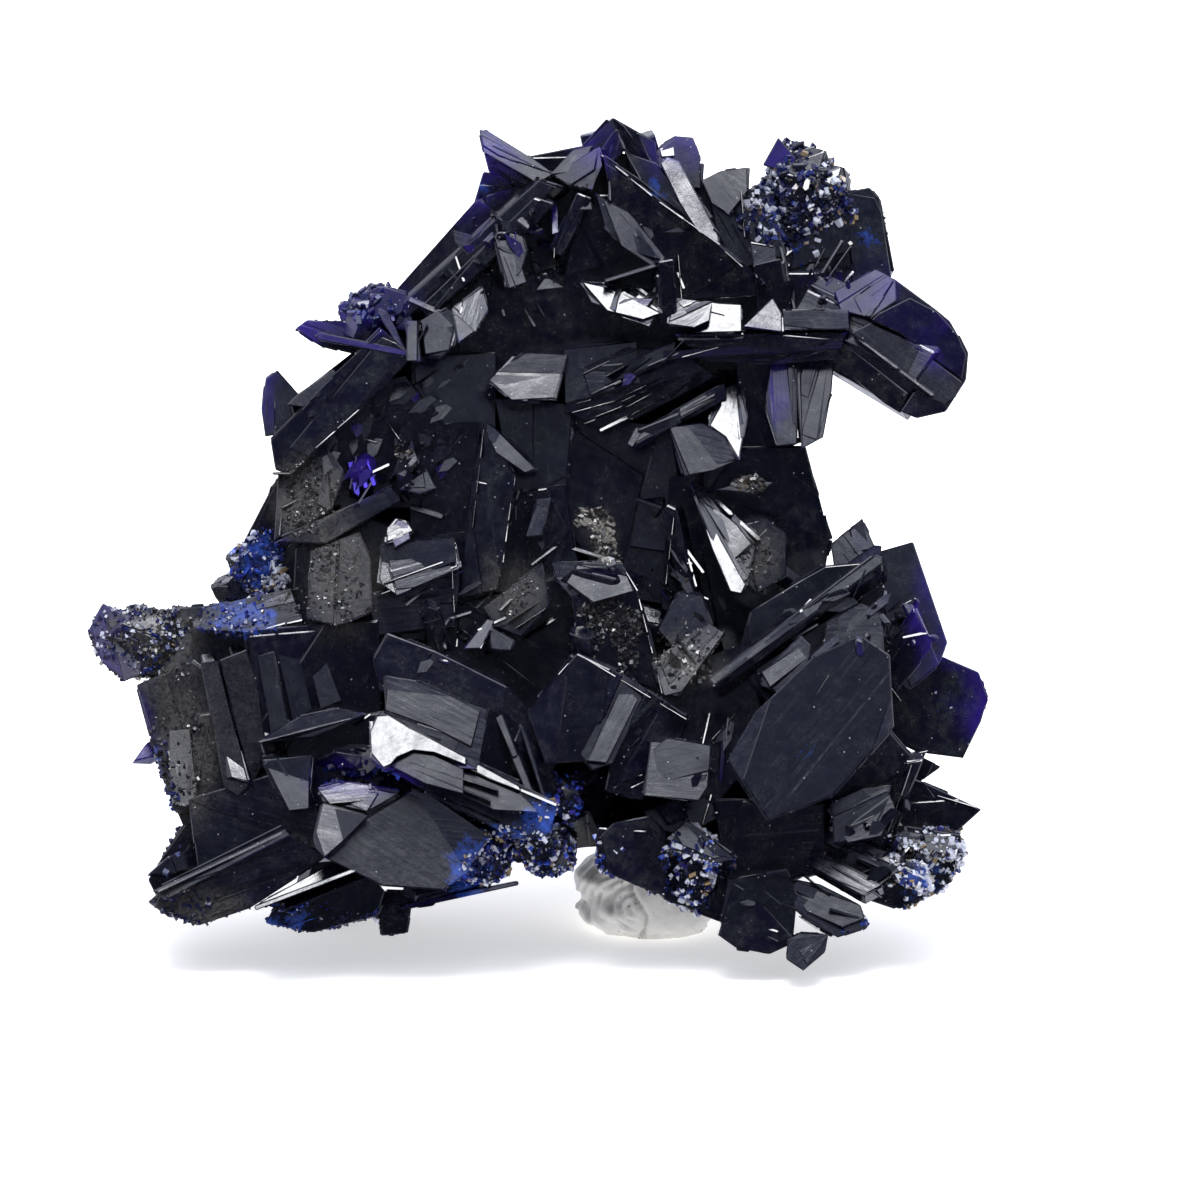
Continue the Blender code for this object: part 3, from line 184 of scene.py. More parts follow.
GRIT = (
    Patch(-11.3, 16.3, 1.5, 2.1, 2300, (0.06, 0.20), 0.45, 0.02, 0.5, -0.25, 0.0, 0.0),
    Patch(-12.9, 19.9, 1.7, 1.9, 1800, (0.05, 0.18), 0.30, 0.02, 0.5, -0.25, 0.0, 0.0),
    Patch(-0.4, 19.0, 0.9, 0.6, 900, (0.08, 0.30), 1.00, 0.60, 0.7, 0.15, 0.0, -0.2),
    Patch(0.2, 18.1, 0.6, 1.2, 1300, (0.08, 0.30), 1.00, 0.60, 0.7, 0.15, 0.0, -0.2),
    Patch(0.4, 17.2, 0.8, 0.4, 500, (0.08, 0.28), 1.00, 0.40, 0.7, 0.15, 0.0, -0.2),
    Patch(6.5, 20.45, 1.1, 0.42, 600, (0.07, 0.26), 1.00, 0.20, 0.7, 0.10, 0.0, -0.2),
    Patch(7.0, 17.3, 1.1, 1.5, 900, (0.06, 0.22), 0.40, 0.02, 0.6, -0.15, 0.0, -0.1),
    Patch(0.2, 14.8, 1.6, 0.7, 1000, (0.06, 0.26), 0.10, 0.06, 0.6, -0.12, 0.0, 0.0),
    Patch(1.1, 13.6, 0.9, 1.7, 1300, (0.06, 0.26), 0.10, 0.10, 0.6, -0.12, 0.0, 0.0),
    Patch(-0.3, 13.6, 0.9, 1.0, 700, (0.06, 0.24), 0.10, 0.10, 0.6, -0.15, 0.0, 0.0),
    Patch(3.8, 13.2, 1.6, 1.9, 1700, (0.06, 0.24), 0.20, 0.22, 0.5, -0.15, 0.0, 0.0),
    Patch(-3.8, 15.6, 1.3, 1.1, 500, (0.05, 0.15), 0.30, 0.02, 0.5, -0.28, 0.0, 0.0),
    Patch(-18.6, 9.0, 1.5, 3.4, 1500, (0.06, 0.24), 0.20, 0.03, 0.6, -0.15, 0.0, -0.2),
    Patch(-12.6, 15.2, 2.6, 0.7, 300, (0.06, 0.20), 0.30, 0.06, 0.5, -0.08, 0.0, 0.0),
    Patch(-20.0, 13.4, 2.6, 1.8, 2400, (0.06, 0.24), 0.35, 0.20, 0.6, 0.02, -2.0, -0.6),
    Patch(-8.7, 21.9, 0.6, 0.6, 40, (0.08, 0.26), 1.00, 0.30, 0.7, 0.15, 0.0, 0.0),
    Patch(-10.1, 23.6, 0.3, 0.25, 12, (0.08, 0.20), 0.95, 0.40, 0.7, 0.15, 0.0, 0.0),
    Patch(11.05, 31.05, 0.14, 0.14, 6, (0.12, 0.22), 1.00, 0.30, 0.5, 0.20, 0.0, -0.2),
    Patch(-17.8, 1.9, 2.0, 0.9, 260, (0.08, 0.26), 0.20, 0.03, 0.6, 0.02, 0.0, -0.6),
    Patch(3.8, 16.3, 0.5, 0.8, 40, (0.06, 0.22), 0.95, 0.30, 0.7, 0.05, 0.0, 0.0),
)
# Tufts of small pointed crystals.
TUFTS = (
    Patch(8.8, 33.4, 2.2, 2.4, 150, (0.35, 0.95), 0.15, 0.0, 0.75, 0.0, -1.0, -0.4),
    Patch(-10.2, 28.4, 1.6, 0.9, 44, (0.35, 0.90), 0.80, 0.0, 0.7, 0.0, -1.0, -0.4),
    Patch(-3.0, 4.2, 3.8, 1.4, 60, (0.30, 0.80), 0.30, 0.0, 0.7, 0.0, 1.0, -0.2),
    Patch(4.2, 3.6, 1.5, 1.8, 55, (0.35, 0.95), 0.50, 0.0, 0.7, 0.0, 1.0, -0.3),
    Patch(14.6, 3.6, 1.8, 1.4, 46, (0.30, 0.85), 0.40, 0.0, 0.7, 0.0, 0.0, -0.3),
    Patch(-15.3, 16.8, 1.1, 1.4, 34, (0.30, 0.80), 0.50, 0.0, 0.7, 0.0, -1.0, -0.4),
    Patch(-20.8, 13.6, 2.0, 1.5, 40, (0.30, 0.70), 0.30, 0.0, 0.6, 0.0, -1.0, -0.4),
    Patch(-8.6, 21.2, 1.5, 1.6, 34, (0.35, 1.00), 0.25, 0.0, 0.6, 0.0, 0.0, 0.0),
    Patch(-6.0, 13.6, 1.8, 1.4, 26, (0.35, 0.90), 0.30, 0.0, 0.6, 0.0, 0.0, 0.0),
    Patch(3.0, 15.8, 1.6, 1.6, 30, (0.30, 0.80), 0.15, 0.0, 0.6, 0.0, 0.0, 0.0),
    Patch(4.6, 7.0, 1.0, 2.0, 26, (0.35, 0.90), 0.25, 0.0, 0.6, 0.0, 0.0, 0.0),
    Patch(13.0, 5.0, 1.8, 2.0, 36, (0.40, 1.20), 0.25, 0.0, 0.5, 0.0, 0.0, 0.0),
    Patch(12.6, 14.2, 2.2, 2.4, 36, (0.40, 1.20), 0.35, 0.0, 0.5, 0.0, 0.0, 0.0),
    Patch(-4.0, 30.6, 3.5, 2.4, 46, (0.40, 1.30), 0.20, 0.0, 0.5, 0.0, 0.0, 0.0),
    Patch(9.0, 29.6, 2.4, 1.4, 34, (0.40, 1.10), 0.25, 0.0, 0.5, 0.0, 0.0, 0.0),
    Patch(-10.4, 7.6, 2.2, 0.7, 36, (0.30, 0.70), 0.50, 0.0, 0.6, 0.0, 0.0, 0.0),
    Patch(-12.0, 1.6, 3.4, 0.8, 36, (0.30, 0.80), 0.25, 0.0, 0.6, 0.0, 0.0, -0.4),
)
BACK_CRYSTALS = 420

# Crystals that turn one flat face to the front: how it turns (right, up), its corners (right, up), how
# violet and how dull it is, and how far out its middle lies where it doesn't follow the surface.
Facet = namedtuple("Facet", "turn corners violet dull out", defaults=(0.0, 0.0, None))
FACETS = (
    # top
    Facet((0.05, 0.385), ((2.65, 34.6), (2.95, 34.9), (3.5, 34.7), (5.2, 31.4), (5.25, 31.0), (4.3, 31.5),
          (3.5, 32.8)), out=3.6),
    Facet((0.0, 0.5), ((2.6, 35.45), (3.3, 35.5), (3.35, 35.0), (2.7, 34.95))),
    Facet((-0.1, 0.3), ((-2.2, 34.1), (-1.2, 35.2), (-0.3, 35.4), (-0.9, 34.2))),
    Facet((0.1, 0.25), ((0.1, 33.0), (1.3, 32.4), (2.9, 30.4), (2.4, 29.9), (0.9, 30.9))),
    Facet((-0.1, 0.385), ((-2.2, 33.0), (-1.85, 33.0), (-1.8, 31.5), (-2.15, 31.4)), violet=0.6),
    Facet((0.0, 0.3), ((-4.7, 31.4), (-3.9, 31.5), (-3.2, 29.3), (-4.0, 29.0))),
    Facet((-0.1, 0.27), ((-7.9, 27.6), (-7.1, 28.1), (-6.4, 27.4), (-6.6, 26.3), (-7.7, 26.1))),
    Facet((0.1, 0.3), ((-8.5, 27.6), (-8.0, 27.6), (-8.0, 25.8), (-8.5, 25.8))),
    Facet((0.0, 0.3), ((-1.0, 32.5), (-0.4, 33.1), (-0.3, 32.5))),
    Facet((0.0, 0.3), ((-2.9, 29.0), (-2.4, 29.7), (-1.5, 29.15))),
    Facet((0.05, 0.5), ((-0.8, 29.3), (0.6, 29.0), (2.7, 27.9), (1.9, 27.6), (0.3, 28.0))),
    Facet((0.0, 0.36), ((0.5, 28.5), (2.4, 28.6), (1.6, 27.5)), violet=0.5),
    Facet((0.0, 0.5), ((8.2, 30.5), (8.4, 31.3), (8.7, 30.9))),
    Facet((-0.1, 0.1), ((7.2, 34.6), (7.9, 35.85), (8.7, 34.9), (8.4, 34.2)), out=1.2, violet=0.9),
    Facet((0.05, 0.05), ((11.9, 28.7), (12.9, 29.5), (14.8, 28.1), (15.4, 27.6), (15.8, 26.9), (14.4, 27.0),
          (12.9, 27.9)), out=4.2, violet=0.1),
    Facet((0.25, -0.05), ((13.2, 23.6), (13.9, 23.3), (15.2, 23.6), (16.1, 25.0), (16.2, 26.2), (15.8, 27.0),
          (14.9, 26.2)), out=4.7, violet=0.05, dull=0.1),
    Facet((0.05, 0.14), ((11.0, 27.05), (11.9, 27.5), (13.2, 26.9), (15.9, 24.9), (15.6, 24.2), (15.1, 23.9),
          (14.3, 24.2)), out=5.15, dull=0.1),
    Facet((0.1, -0.02), ((11.9, 27.6), (12.2, 27.9), (13.6, 28.6), (14.8, 28.0), (15.7, 27.0), (16.1, 26.1),
          (15.9, 25.0), (13.2, 27.0)), out=4.95, violet=0.12),
    Facet((0.0, -0.1), ((0.8, 33.8), (2.1, 33.8), (2.0, 35.0), (1.2, 35.3)), out=-0.8, violet=0.1),
    Facet((0.0, 0.05), ((3.9, 32.5), (5.5, 32.5), (5.3, 33.9), (4.7, 34.0),
          (4.2, 34.3)), out=-0.4, violet=0.1),
    # left
    Facet((-0.2, 0.22), ((-13.8, 23.9), (-13.3, 24.4), (-11.7, 25.5), (-11.4, 25.2),
          (-13.0, 23.8)), dull=0.2),
    Facet((0.0, 0.3), ((-14.8, 8.4), (-12.7, 8.5), (-12.7, 6.2), (-13.6, 6.1))),
    Facet((-0.3, 0.1), ((-17.6, 12.6), (-16.8, 12.7), (-15.4, 7.2), (-15.9, 6.7), (-16.5, 7.1)), dull=0.3),
    Facet((0.25, 0.05), ((-16.7, 12.7), (-15.2, 13.3), (-14.6, 8.4), (-15.3, 7.2)), dull=0.3),
    Facet((0.0, 0.05), ((-12.6, 21.8), (-12.5, 22.5), (-11.8, 22.9), (-11.5, 22.3),
          (-11.7, 21.6)), out=3.3, dull=0.2),
    # lower front
    Facet((0.0, 0.02), ((1.5, 22.7), (1.8, 22.2), (3.6, 23.1), (3.5, 23.8))),
    Facet((0.0, 0.0), ((3.4, 23.8), (3.6, 23.1), (5.6, 24.2), (5.5, 24.9))),
    Facet((0.0, 0.31), ((-9.2, 8.15), (-8.2, 8.75), (-7.2, 8.6), (-5.9, 8.0), (-5.9, 6.9),
          (-7.6, 7.35)), out=9.25, dull=0.1),
    Facet((0.02, 0.32), ((-6.0, 8.0), (-3.4, 6.9), (-2.6, 6.1), (-4.6, 6.2),
          (-6.0, 6.85)), out=9.2, dull=0.1),
    Facet((0.01, 0.28), ((-9.4, 10.5), (-9.3, 11.9), (-7.6, 11.7), (-5.2, 10.5), (-5.6, 8.9),
          (-7.4, 9.8)), dull=0.1),
    Facet((0.1, 0.48), ((-9.95, 8.7), (-10.0, 9.6), (-9.7, 10.3), (-9.2, 10.35), (-8.3, 9.8), (-7.3, 9.3),
          (-5.8, 8.5), (-5.8, 8.15), (-7.2, 8.7), (-8.1, 8.8), (-8.8, 8.5), (-9.05, 8.2),
          (-9.4, 8.05)), out=9.2),
    Facet((0.1, 0.48), ((-6.0, 8.6), (-4.7, 7.9), (-3.5, 7.25), (-3.4, 7.0), (-4.8, 7.55),
          (-6.0, 8.15)), out=9.1),
    Facet((-0.1, 0.12), ((-15.1, 12.9), (-14.3, 13.1), (-13.6, 9.7), (-14.4, 9.3)), dull=0.1),
    Facet((0.1, 0.08), ((-14.2, 13.0), (-13.2, 13.0), (-12.6, 10.5), (-13.5, 9.9))),
    Facet((-0.1, 0.14), ((-12.9, 12.9), (-12.0, 12.6), (-11.3, 10.9), (-12.3, 10.5)), dull=0.1),
    Facet((0.0, 0.12), ((-9.7, 17.8), (-6.4, 18.1), (-6.3, 17.0), (-7.6, 16.5), (-9.6, 16.7))),
    Facet((0.05, 0.36), ((-9.3, 18.3), (-8.9, 18.9), (-8.4, 18.7), (-8.3, 18.0), (-9.0, 17.6)), violet=0.5),
    Facet((0.05, 0.1), ((1.9, 6.1), (4.6, 6.7), (5.6, 5.9), (3.6, 5.0), (2.2, 5.3)), out=5.0),
    Facet((-0.1, 0.22), ((2.4, 6.3), (3.4, 6.6), (3.9, 5.8), (3.0, 5.5)), out=5.6),
    Facet((0.03, 0.21), ((-12.0, 4.1), (-10.4, 5.7), (-8.4, 6.9), (-7.4, 6.6), (-5.0, 5.1), (-5.8, 3.4),
          (-6.8, 2.7), (-9.5, 2.9)), dull=0.2),
    Facet((-0.1, 0.385), ((-12.4, 5.2), (-12.1, 6.5), (-10.2, 6.0), (-11.2, 4.8), (-12.0, 4.1)), dull=0.1),
    Facet((0.0, 0.385), ((-12.3, 7.0), (-11.0, 7.4), (-8.9, 7.1), (-9.5, 6.6), (-11.8, 6.4)), dull=0.1),
    Facet((0.0, 0.5), ((-9.7, 2.2), (-8.6, 2.35), (-8.8, 2.0), (-9.6, 1.9))),
    Facet((0.0, 0.48), ((-8.3, 2.1), (-7.1, 2.2), (-7.3, 1.9), (-8.0, 1.8))),
    # centre
    Facet((0.1, 0.3), ((-5.1, 22.9), (-4.5, 22.8), (-2.8, 21.1), (-3.3, 20.9), (-4.6, 21.8))),
    Facet((0.0, 0.36), ((-4.9, 25.0), (-3.9, 26.1), (-1.4, 26.2), (-2.0, 24.2), (-3.9, 24.1)), dull=0.1),
    Facet((0.0, 0.34), ((-1.5, 16.1), (-1.0, 16.9), (1.2, 16.4), (1.5, 15.7), (-0.3, 15.2)), dull=0.1),
    Facet((0.1, 0.3), ((2.3, 12.6), (5.0, 14.2), (5.5, 13.9), (3.6, 11.3), (2.8, 11.1)), dull=0.3),
    Facet((0.1, 0.3), ((1.0, 11.7), (1.7, 11.0), (0.3, 8.2), (-0.6, 8.3)), dull=0.1),
    Facet((0.0, 0.3), ((2.2, 9.2), (4.85, 9.0), (4.7, 7.2), (4.3, 6.6), (1.9, 6.8)), dull=0.1),
    Facet((0.05, 0.51), ((6.0, 24.9), (6.4, 24.6), (6.4, 23.2), (6.1, 21.5), (5.5, 22.5), (4.8, 23.0),
          (5.3, 23.9), (5.3, 24.6))),
    Facet((0.05, 0.28), ((3.0, 23.0), (4.9, 23.0), (5.9, 21.4), (5.0, 21.0), (3.9, 20.8),
          (3.4, 22.0)), dull=0.1),
    Facet((0.0, -0.02), ((-1.6, 23.7), (0.0, 22.9), (1.6, 23.3), (3.9, 24.5), (5.1, 25.2), (3.6, 26.3),
          (1.2, 26.5), (-0.8, 25.6))),
    Facet((0.05, 0.5), ((4.0, 20.3), (4.35, 20.2), (5.1, 18.4), (6.4, 16.0), (6.2, 15.6), (5.7, 15.7),
          (4.9, 17.6))),
    Facet((0.0, 0.385), ((4.7, 19.7), (6.0, 18.7), (6.7, 17.8), (5.9, 17.1), (5.3, 18.2))),
    # right
    Facet((0.0, 0.3), ((7.0, 12.2), (8.8, 13.4), (9.2, 12.9), (7.4, 11.5)), dull=0.1),
    Facet((0.0, 0.28), ((9.9, 6.2), (12.6, 7.2), (12.9, 6.2), (12.3, 5.0), (10.8, 4.7)), dull=0.1),
    Facet((0.0, 0.28), ((8.4, 2.9), (9.4, 2.7), (11.4, 2.0), (11.6, 1.4), (10.6, 1.0),
          (9.0, 1.7)), dull=0.1),
    Facet((0.1, -0.05), ((0.0, 5.0), (0.6, 5.6), (2.2, 5.9), (2.9, 5.2), (2.9, 3.0), (1.6, 2.8),
          (0.4, 3.5))),
    Facet((0.0, 0.29), ((3.2, 5.2), (3.8, 5.7), (5.9, 4.3), (5.0, 4.0), (3.6, 4.6))),
    Facet((0.15, 0.3), ((11.0, 18.4), (11.6, 18.8), (12.1, 17.6), (11.2, 17.4)), violet=0.1, dull=0.1),
)

# Narrow crystals: the middle of each end (right, up), the width, how the face turns and how violet it is.
Stroke = namedtuple("Stroke", "root tip width turn violet", defaults=(0.0,))
STROKES = (
    # top
    Stroke((0.1, 34.9), (2.3, 33.1), 0.13, (0.1, 0.5)), Stroke((2.3, 33.1), (5.2, 31.0), 0.13, (0.1, 0.5)),
    Stroke((5.2, 31.0), (6.3, 30.0), 0.11, (0.1, 0.48)),
    Stroke((0.65, 36.3), (1.1, 35.2), 0.14, (0.25, 0.385)),
    Stroke((1.1, 35.2), (1.8, 33.9), 0.13, (0.25, 0.385)),
    Stroke((6.4, 31.4), (6.25, 33.4), 0.11, (0.0, 0.5)),
    Stroke((0.42, 34.0), (0.45, 32.9), 0.16, (0.1, 0.36)),
    Stroke((-2.0, 31.3), (-2.05, 29.5), 0.07, (0.0, 0.5)),
    Stroke((9.2, 28.8), (10.7, 31.2), 0.18, (-0.2, 0.34)),
    Stroke((8.8, 28.7), (9.9, 30.8), 0.13, (-0.2, 0.36)),
    Stroke((9.6, 28.9), (11.1, 31.0), 0.13, (-0.2, 0.36)),
    Stroke((8.6, 28.2), (8.0, 31.0), 0.22, (0.1, 0.3)), Stroke((3.6, 28.6), (3.45, 30.6), 0.09, (0.0, 0.5)),
    Stroke((0.2, 29.3), (2.4, 30.0), 0.2, (0.0, 0.3)),
    Stroke((-8.6, 26.2), (-9.6, 28.0), 0.4, (-0.2, 0.25), 0.3),
    Stroke((-8.6, 26.2), (-12.2, 26.9), 0.35, (0.0, 0.15), 0.6),
    Stroke((-8.4, 28.6), (-7.0, 28.0), 0.3, (0.0, 0.34)), Stroke((3.4, 26.8), (6.3, 26.9), 0.25, (0.0, 0.3)),
    Stroke((3.0, 26.1), (10.6, 26.6), 0.5, (0.0, 0.02), 0.1),
    Stroke((11.2, 26.9), (14.6, 24.3), 0.22, (-0.1, 0.36)),
    # left
    Stroke((-12.5, 22.0), (-10.6, 23.7), 0.12, (0.0, 0.5)),
    Stroke((-11.0, 21.4), (-10.7, 20.1), 0.34, (0.0, 0.2), 1.0),
    Stroke((-10.5, 21.2), (-10.3, 20.3), 0.26, (0.0, 0.2), 1.0),
    Stroke((-10.3, 21.5), (-9.95, 20.4), 0.28, (0.1, 0.2), 1.0),
    Stroke((-7.0, 19.0), (-8.4, 19.5), 0.35, (0.0, 0.28)),
    Stroke((-9.6, 15.6), (-6.4, 16.8), 0.16, (0.0, 0.5)),
    Stroke((-9.4, 16.1), (-6.9, 17.0), 0.1, (0.0, 0.5)), Stroke((-6.4, 14.8), (-6.5, 16.8), 0.1, (0.0, 0.5)),
    Stroke((-14.8, 14.05), (-13.9, 14.3), 0.16, (0.0, 0.51)),
    Stroke((-13.8, 14.3), (-13.1, 14.45), 0.16, (0.0, 0.51)),
    Stroke((-14.0, 19.4), (-14.1, 18.2), 0.1, (0.0, 0.385)),
    Stroke((-14.0, 19.4), (-13.4, 19.7), 0.14, (0.0, 0.5)),
    Stroke((-9.7, 23.6), (-8.9, 22.5), 0.08, (0.0, 0.5)),
    Stroke((-11.0, 22.6), (-9.9, 22.3), 0.1, (0.0, 0.385)),
    Stroke((-14.4, 20.9), (-13.6, 20.9), 0.14, (0.0, 0.385)),
    Stroke((-19.3, 2.6), (-13.8, 5.2), 0.2, (-0.1, 0.385)),
    Stroke((-14.8, 2.0), (-10.6, 3.6), 0.22, (-0.1, 0.5)),
    Stroke((-13.6, 1.9), (-10.3, 3.2), 0.14, (-0.1, 0.5)),
    Stroke((-14.9, 9.1), (-10.3, 10.3), 0.12, (0.0, 0.385)),
    Stroke((-10.8, 9.8), (-10.1, 10.3), 0.16, (0.0, 0.51)),
    # lower front
    Stroke((-3.7, 7.15), (-1.9, 6.4), 0.2, (-0.05, 0.5)), Stroke((-7.5, 7.0), (-6.4, 6.5), 0.13, (0.0, 0.5)),
    Stroke((-6.4, 6.5), (-5.4, 6.1), 0.13, (0.0, 0.5)), Stroke((-5.4, 6.1), (-4.4, 5.6), 0.13, (0.0, 0.5)),
    Stroke((-4.4, 5.6), (-3.4, 5.2), 0.13, (0.0, 0.5)),
    Stroke((-3.6, 2.9), (-8.4, 1.9), 0.28, (0.0, 0.28), 0.2),
    Stroke((-3.0, 6.8), (-4.4, 10.2), 0.38, (0.1, 0.3)), Stroke((-2.4, 6.6), (-3.4, 9.7), 0.22, (0.1, 0.2)),
    Stroke((-8.3, 8.3), (-4.5, 7.1), 0.08, (0.0, 0.36)), Stroke((-7.9, 7.9), (-4.9, 6.7), 0.08, (0.0, 0.36)),
    # centre
    Stroke((-3.9, 19.8), (-4.4, 16.0), 0.09, (0.0, 0.49)),
    Stroke((-5.1, 23.1), (-5.6, 18.6), 0.08, (0.0, 0.36)),
    Stroke((-3.2, 13.7), (-2.0, 14.5), 0.2, (0.0, 0.5)),
    Stroke((-3.7, 14.1), (-2.3, 15.0), 0.08, (0.0, 0.48)),
    Stroke((-4.0, 14.4), (-2.6, 15.3), 0.07, (0.0, 0.385)),
    Stroke((-1.9, 14.7), (-3.4, 13.6), 0.1, (0.0, 0.36)),
    Stroke((-3.0, 16.9), (-1.8, 17.8), 0.2, (0.0, 0.385)),
    Stroke((-1.8, 17.8), (0.5, 17.1), 0.24, (0.0, 0.36)),
    Stroke((1.0, 16.8), (1.6, 15.8), 0.14, (0.0, 0.49)), Stroke((1.6, 15.8), (2.3, 13.0), 0.11, (0.0, 0.48)),
    Stroke((2.3, 13.0), (2.7, 11.3), 0.1, (0.0, 0.48)), Stroke((-1.0, 13.0), (3.8, 10.1), 0.1, (0.0, 0.47)),
    Stroke((-1.0, 13.0), (-1.8, 12.1), 0.1, (0.0, 0.47)),
    Stroke((3.6, 15.85), (4.7, 15.4), 0.16, (0.0, 0.51)),
    Stroke((3.3, 19.4), (2.9, 16.0), 0.07, (0.0, 0.49)), Stroke((4.5, 20.3), (7.0, 18.0), 0.26, (0.0, 0.5)),
    Stroke((6.9, 18.0), (7.6, 18.7), 0.16, (0.0, 0.385)), Stroke((0.0, 22.8), (1.4, 23.5), 0.24, (0.0, 0.5)),
    Stroke((1.4, 23.5), (4.1, 25.0), 0.1, (0.0, 0.49)), Stroke((-0.7, 23.1), (1.2, 23.8), 0.08, (0.0, 0.47)),
    Stroke((1.3, 23.9), (3.7, 25.2), 0.07, (0.0, 0.47)),
    Stroke((-0.4, 24.4), (0.9, 25.0), 0.1, (0.0, 0.385)),
    Stroke((1.2, 24.4), (2.7, 25.1), 0.08, (0.0, 0.385)),
    Stroke((2.0, 25.2), (2.8, 25.7), 0.1, (0.0, 0.48), 0.2),
    Stroke((-1.0, 24.0), (0.8, 24.5), 0.06, (0.0, 0.385)),
    Stroke((0.3, 25.2), (1.6, 25.9), 0.06, (0.0, 0.385)),
    Stroke((5.8, 26.6), (3.6, 26.0), 0.08, (0.0, 0.385)),
    Stroke((-1.7, 23.2), (-0.9, 22.9), 0.1, (0.0, 0.48)), Stroke((1.3, 22.1), (1.7, 22.8), 0.4, (0.0, 0.3)),
    Stroke((1.7, 22.8), (3.4, 23.5), 0.2, (0.0, 0.3)), Stroke((3.4, 23.5), (5.1, 24.4), 0.16, (0.0, 0.34)),
    Stroke((-1.2, 23.6), (1.0, 24.2), 0.09, (0.0, 0.5)),
    Stroke((1.0, 24.1), (3.0, 25.0), 0.08, (0.0, 0.5), 0.3),
    Stroke((-0.2, 23.4), (1.8, 24.2), 0.07, (0.0, 0.5)),
    Stroke((0.6, 24.8), (2.2, 25.5), 0.07, (0.0, 0.48), 0.3),
    # right
    Stroke((7.2, 14.2), (12.0, 17.4), 0.55, (0.0, 0.12), 0.1),
    Stroke((9.3, 12.8), (12.4, 15.3), 0.45, (0.0, 0.24), 0.1),
    Stroke((12.9, 5.0), (14.3, 8.6), 0.11, (0.0, 0.48)),
    Stroke((12.6, 5.2), (13.7, 8.3), 0.09, (0.0, 0.385)),
    Stroke((13.4, 8.5), (14.3, 8.7), 0.12, (0.0, 0.48)), Stroke((4.4, 5.2), (4.9, 6.8), 0.14, (0.0, 0.5)),
    Stroke((5.3, 7.4), (5.5, 10.2), 0.3, (0.1, 0.1), 0.2),
    Stroke((4.9, 9.2), (6.1, 10.5), 0.08, (0.0, 0.48)), Stroke((2.6, 6.2), (4.0, 6.2), 0.12, (0.0, 0.49)),
    Stroke((9.2, 4.25), (11.9, 4.6), 0.07, (0.0, 0.5)), Stroke((10.2, 3.7), (12.2, 2.4), 0.12, (0.0, 0.36)),
    Stroke((10.8, 4.1), (13.0, 2.9), 0.1, (0.0, 0.385)),
    Stroke((11.6, 4.3), (13.6, 3.4), 0.1, (0.0, 0.36), 0.1),
    Stroke((8.7, 1.5), (9.6, 0.9), 0.08, (0.0, 0.48)), Stroke((6.8, 0.9), (7.8, 0.4), 0.1, (0.0, 0.34)),
    Stroke((14.6, 6.8), (16.6, 6.2), 0.09, (0.0, 0.47)),
    Stroke((9.4, 11.2), (10.3, 12.6), 0.08, (0.0, 0.385)),
    Stroke((12.7, 11.6), (13.2, 10.9), 0.09, (0.0, 0.385)),
)
SUNK = 0.8                      # the part of its surroundings that a placed face must clear
FACET_ROOT = 0.5                # how deep its sides go below the surface
FACET_CLEAR = 0.04              # how far it stands clear of it
FACET_PROBE = 0.55              # besides its corners, the surface is felt this far from its middle
FACET_TAPER = 0.94              # the size of its root
STROKE_RISE = 0.7               # one piece of a narrow crystal rises no more than this
STROKE_OVERLAP = 0.06           # and may reach into the next one by this part of its length
STROKE_SHORT = 0.96             # or stop short of it
STROKE_TAPER = (0.7, 1.0)       # the width of its root, as a part of its own
STROKE_POINT = (0.2, 0.9)       # the length of its point, in widths

# Parts of the display face that are crowded with small faces: place, reach, main direction and count.
Zone = namedtuple("Zone", "right up wide tall angle count")
ZONES = (
    Zone(-9.2, 21.6, 2.8, 3.2, 55.0, 44), Zone(-5.0, 30.4, 3.2, 2.2, -62.0, 26),
    Zone(9.2, 30.2, 2.2, 1.6, 62.0, 18), Zone(2.0, 25.0, 3.6, 1.4, 28.0, 20),
    Zone(-6.4, 14.0, 2.8, 2.0, 35.0, 26), Zone(3.6, 15.0, 1.8, 3.0, -62.0, 24),
    Zone(4.8, 8.0, 1.0, 2.8, 62.0, 16), Zone(11.0, 14.5, 3.2, 2.3, 38.0, 26),
    Zone(12.5, 5.0, 2.8, 2.2, 35.0, 34), Zone(8.4, 2.4, 2.6, 1.6, -22.0, 16),
    Zone(3.0, 31.2, 2.6, 2.2, -48.0, 14), Zone(-12.2, 25.2, 1.8, 1.6, 40.0, 10),
    Zone(-2.6, 20.4, 2.4, 3.0, 80.0, 7), Zone(-7.4, 25.4, 2.2, 1.6, 40.0, 14),
)
CHIP_CLIFF = 1.3                # the tallest step of the surface under one of them
CHIP_SWING = 16.0               # how far their directions stray, in degrees
CHIP_TURNS = (-0.15, -0.10, 0.0, 0.05, 0.10, 0.16, 0.22, 0.28, 0.34)     # how they turn up
CHIP_STRAY = (0.10, 0.03)       # how far they stray from it (right, up)
CHIP_VIOLET = 0.10              # this part of them is violet
CHIP_EDGES = 0.5                # and this part is an edge, not a face
CHIP_EDGE_LONG = (0.3, 1.5)     # an edge's length
CHIP_EDGE_WIDE = (0.04, 0.11)   # and width
CHIP_BRIGHT_PART = 0.16         # the part of the edges that is brightest
CHIP_BRIGHT = (0.0, 0.50)       # and how they turn
CHIP_FACE_TURN = 0.24           # faces turn up no more than this, so that they stay dark
CHIP_FACE_LONG = (0.25, 0.8)    # half of a face's length
CHIP_FACE_WIDE = (0.10, 0.35)   # and of its width
CHIP_UNEVEN = (0.7, 1.2)        # by how much its corners stray across
CHIP_RING = ((-1.0, -0.4), (-0.2, -1.0), (1.0, -0.6), (0.8, 0.5), (0.0, 1.0))
FULL_TURN = 6.3                 # just over one turn, in radians


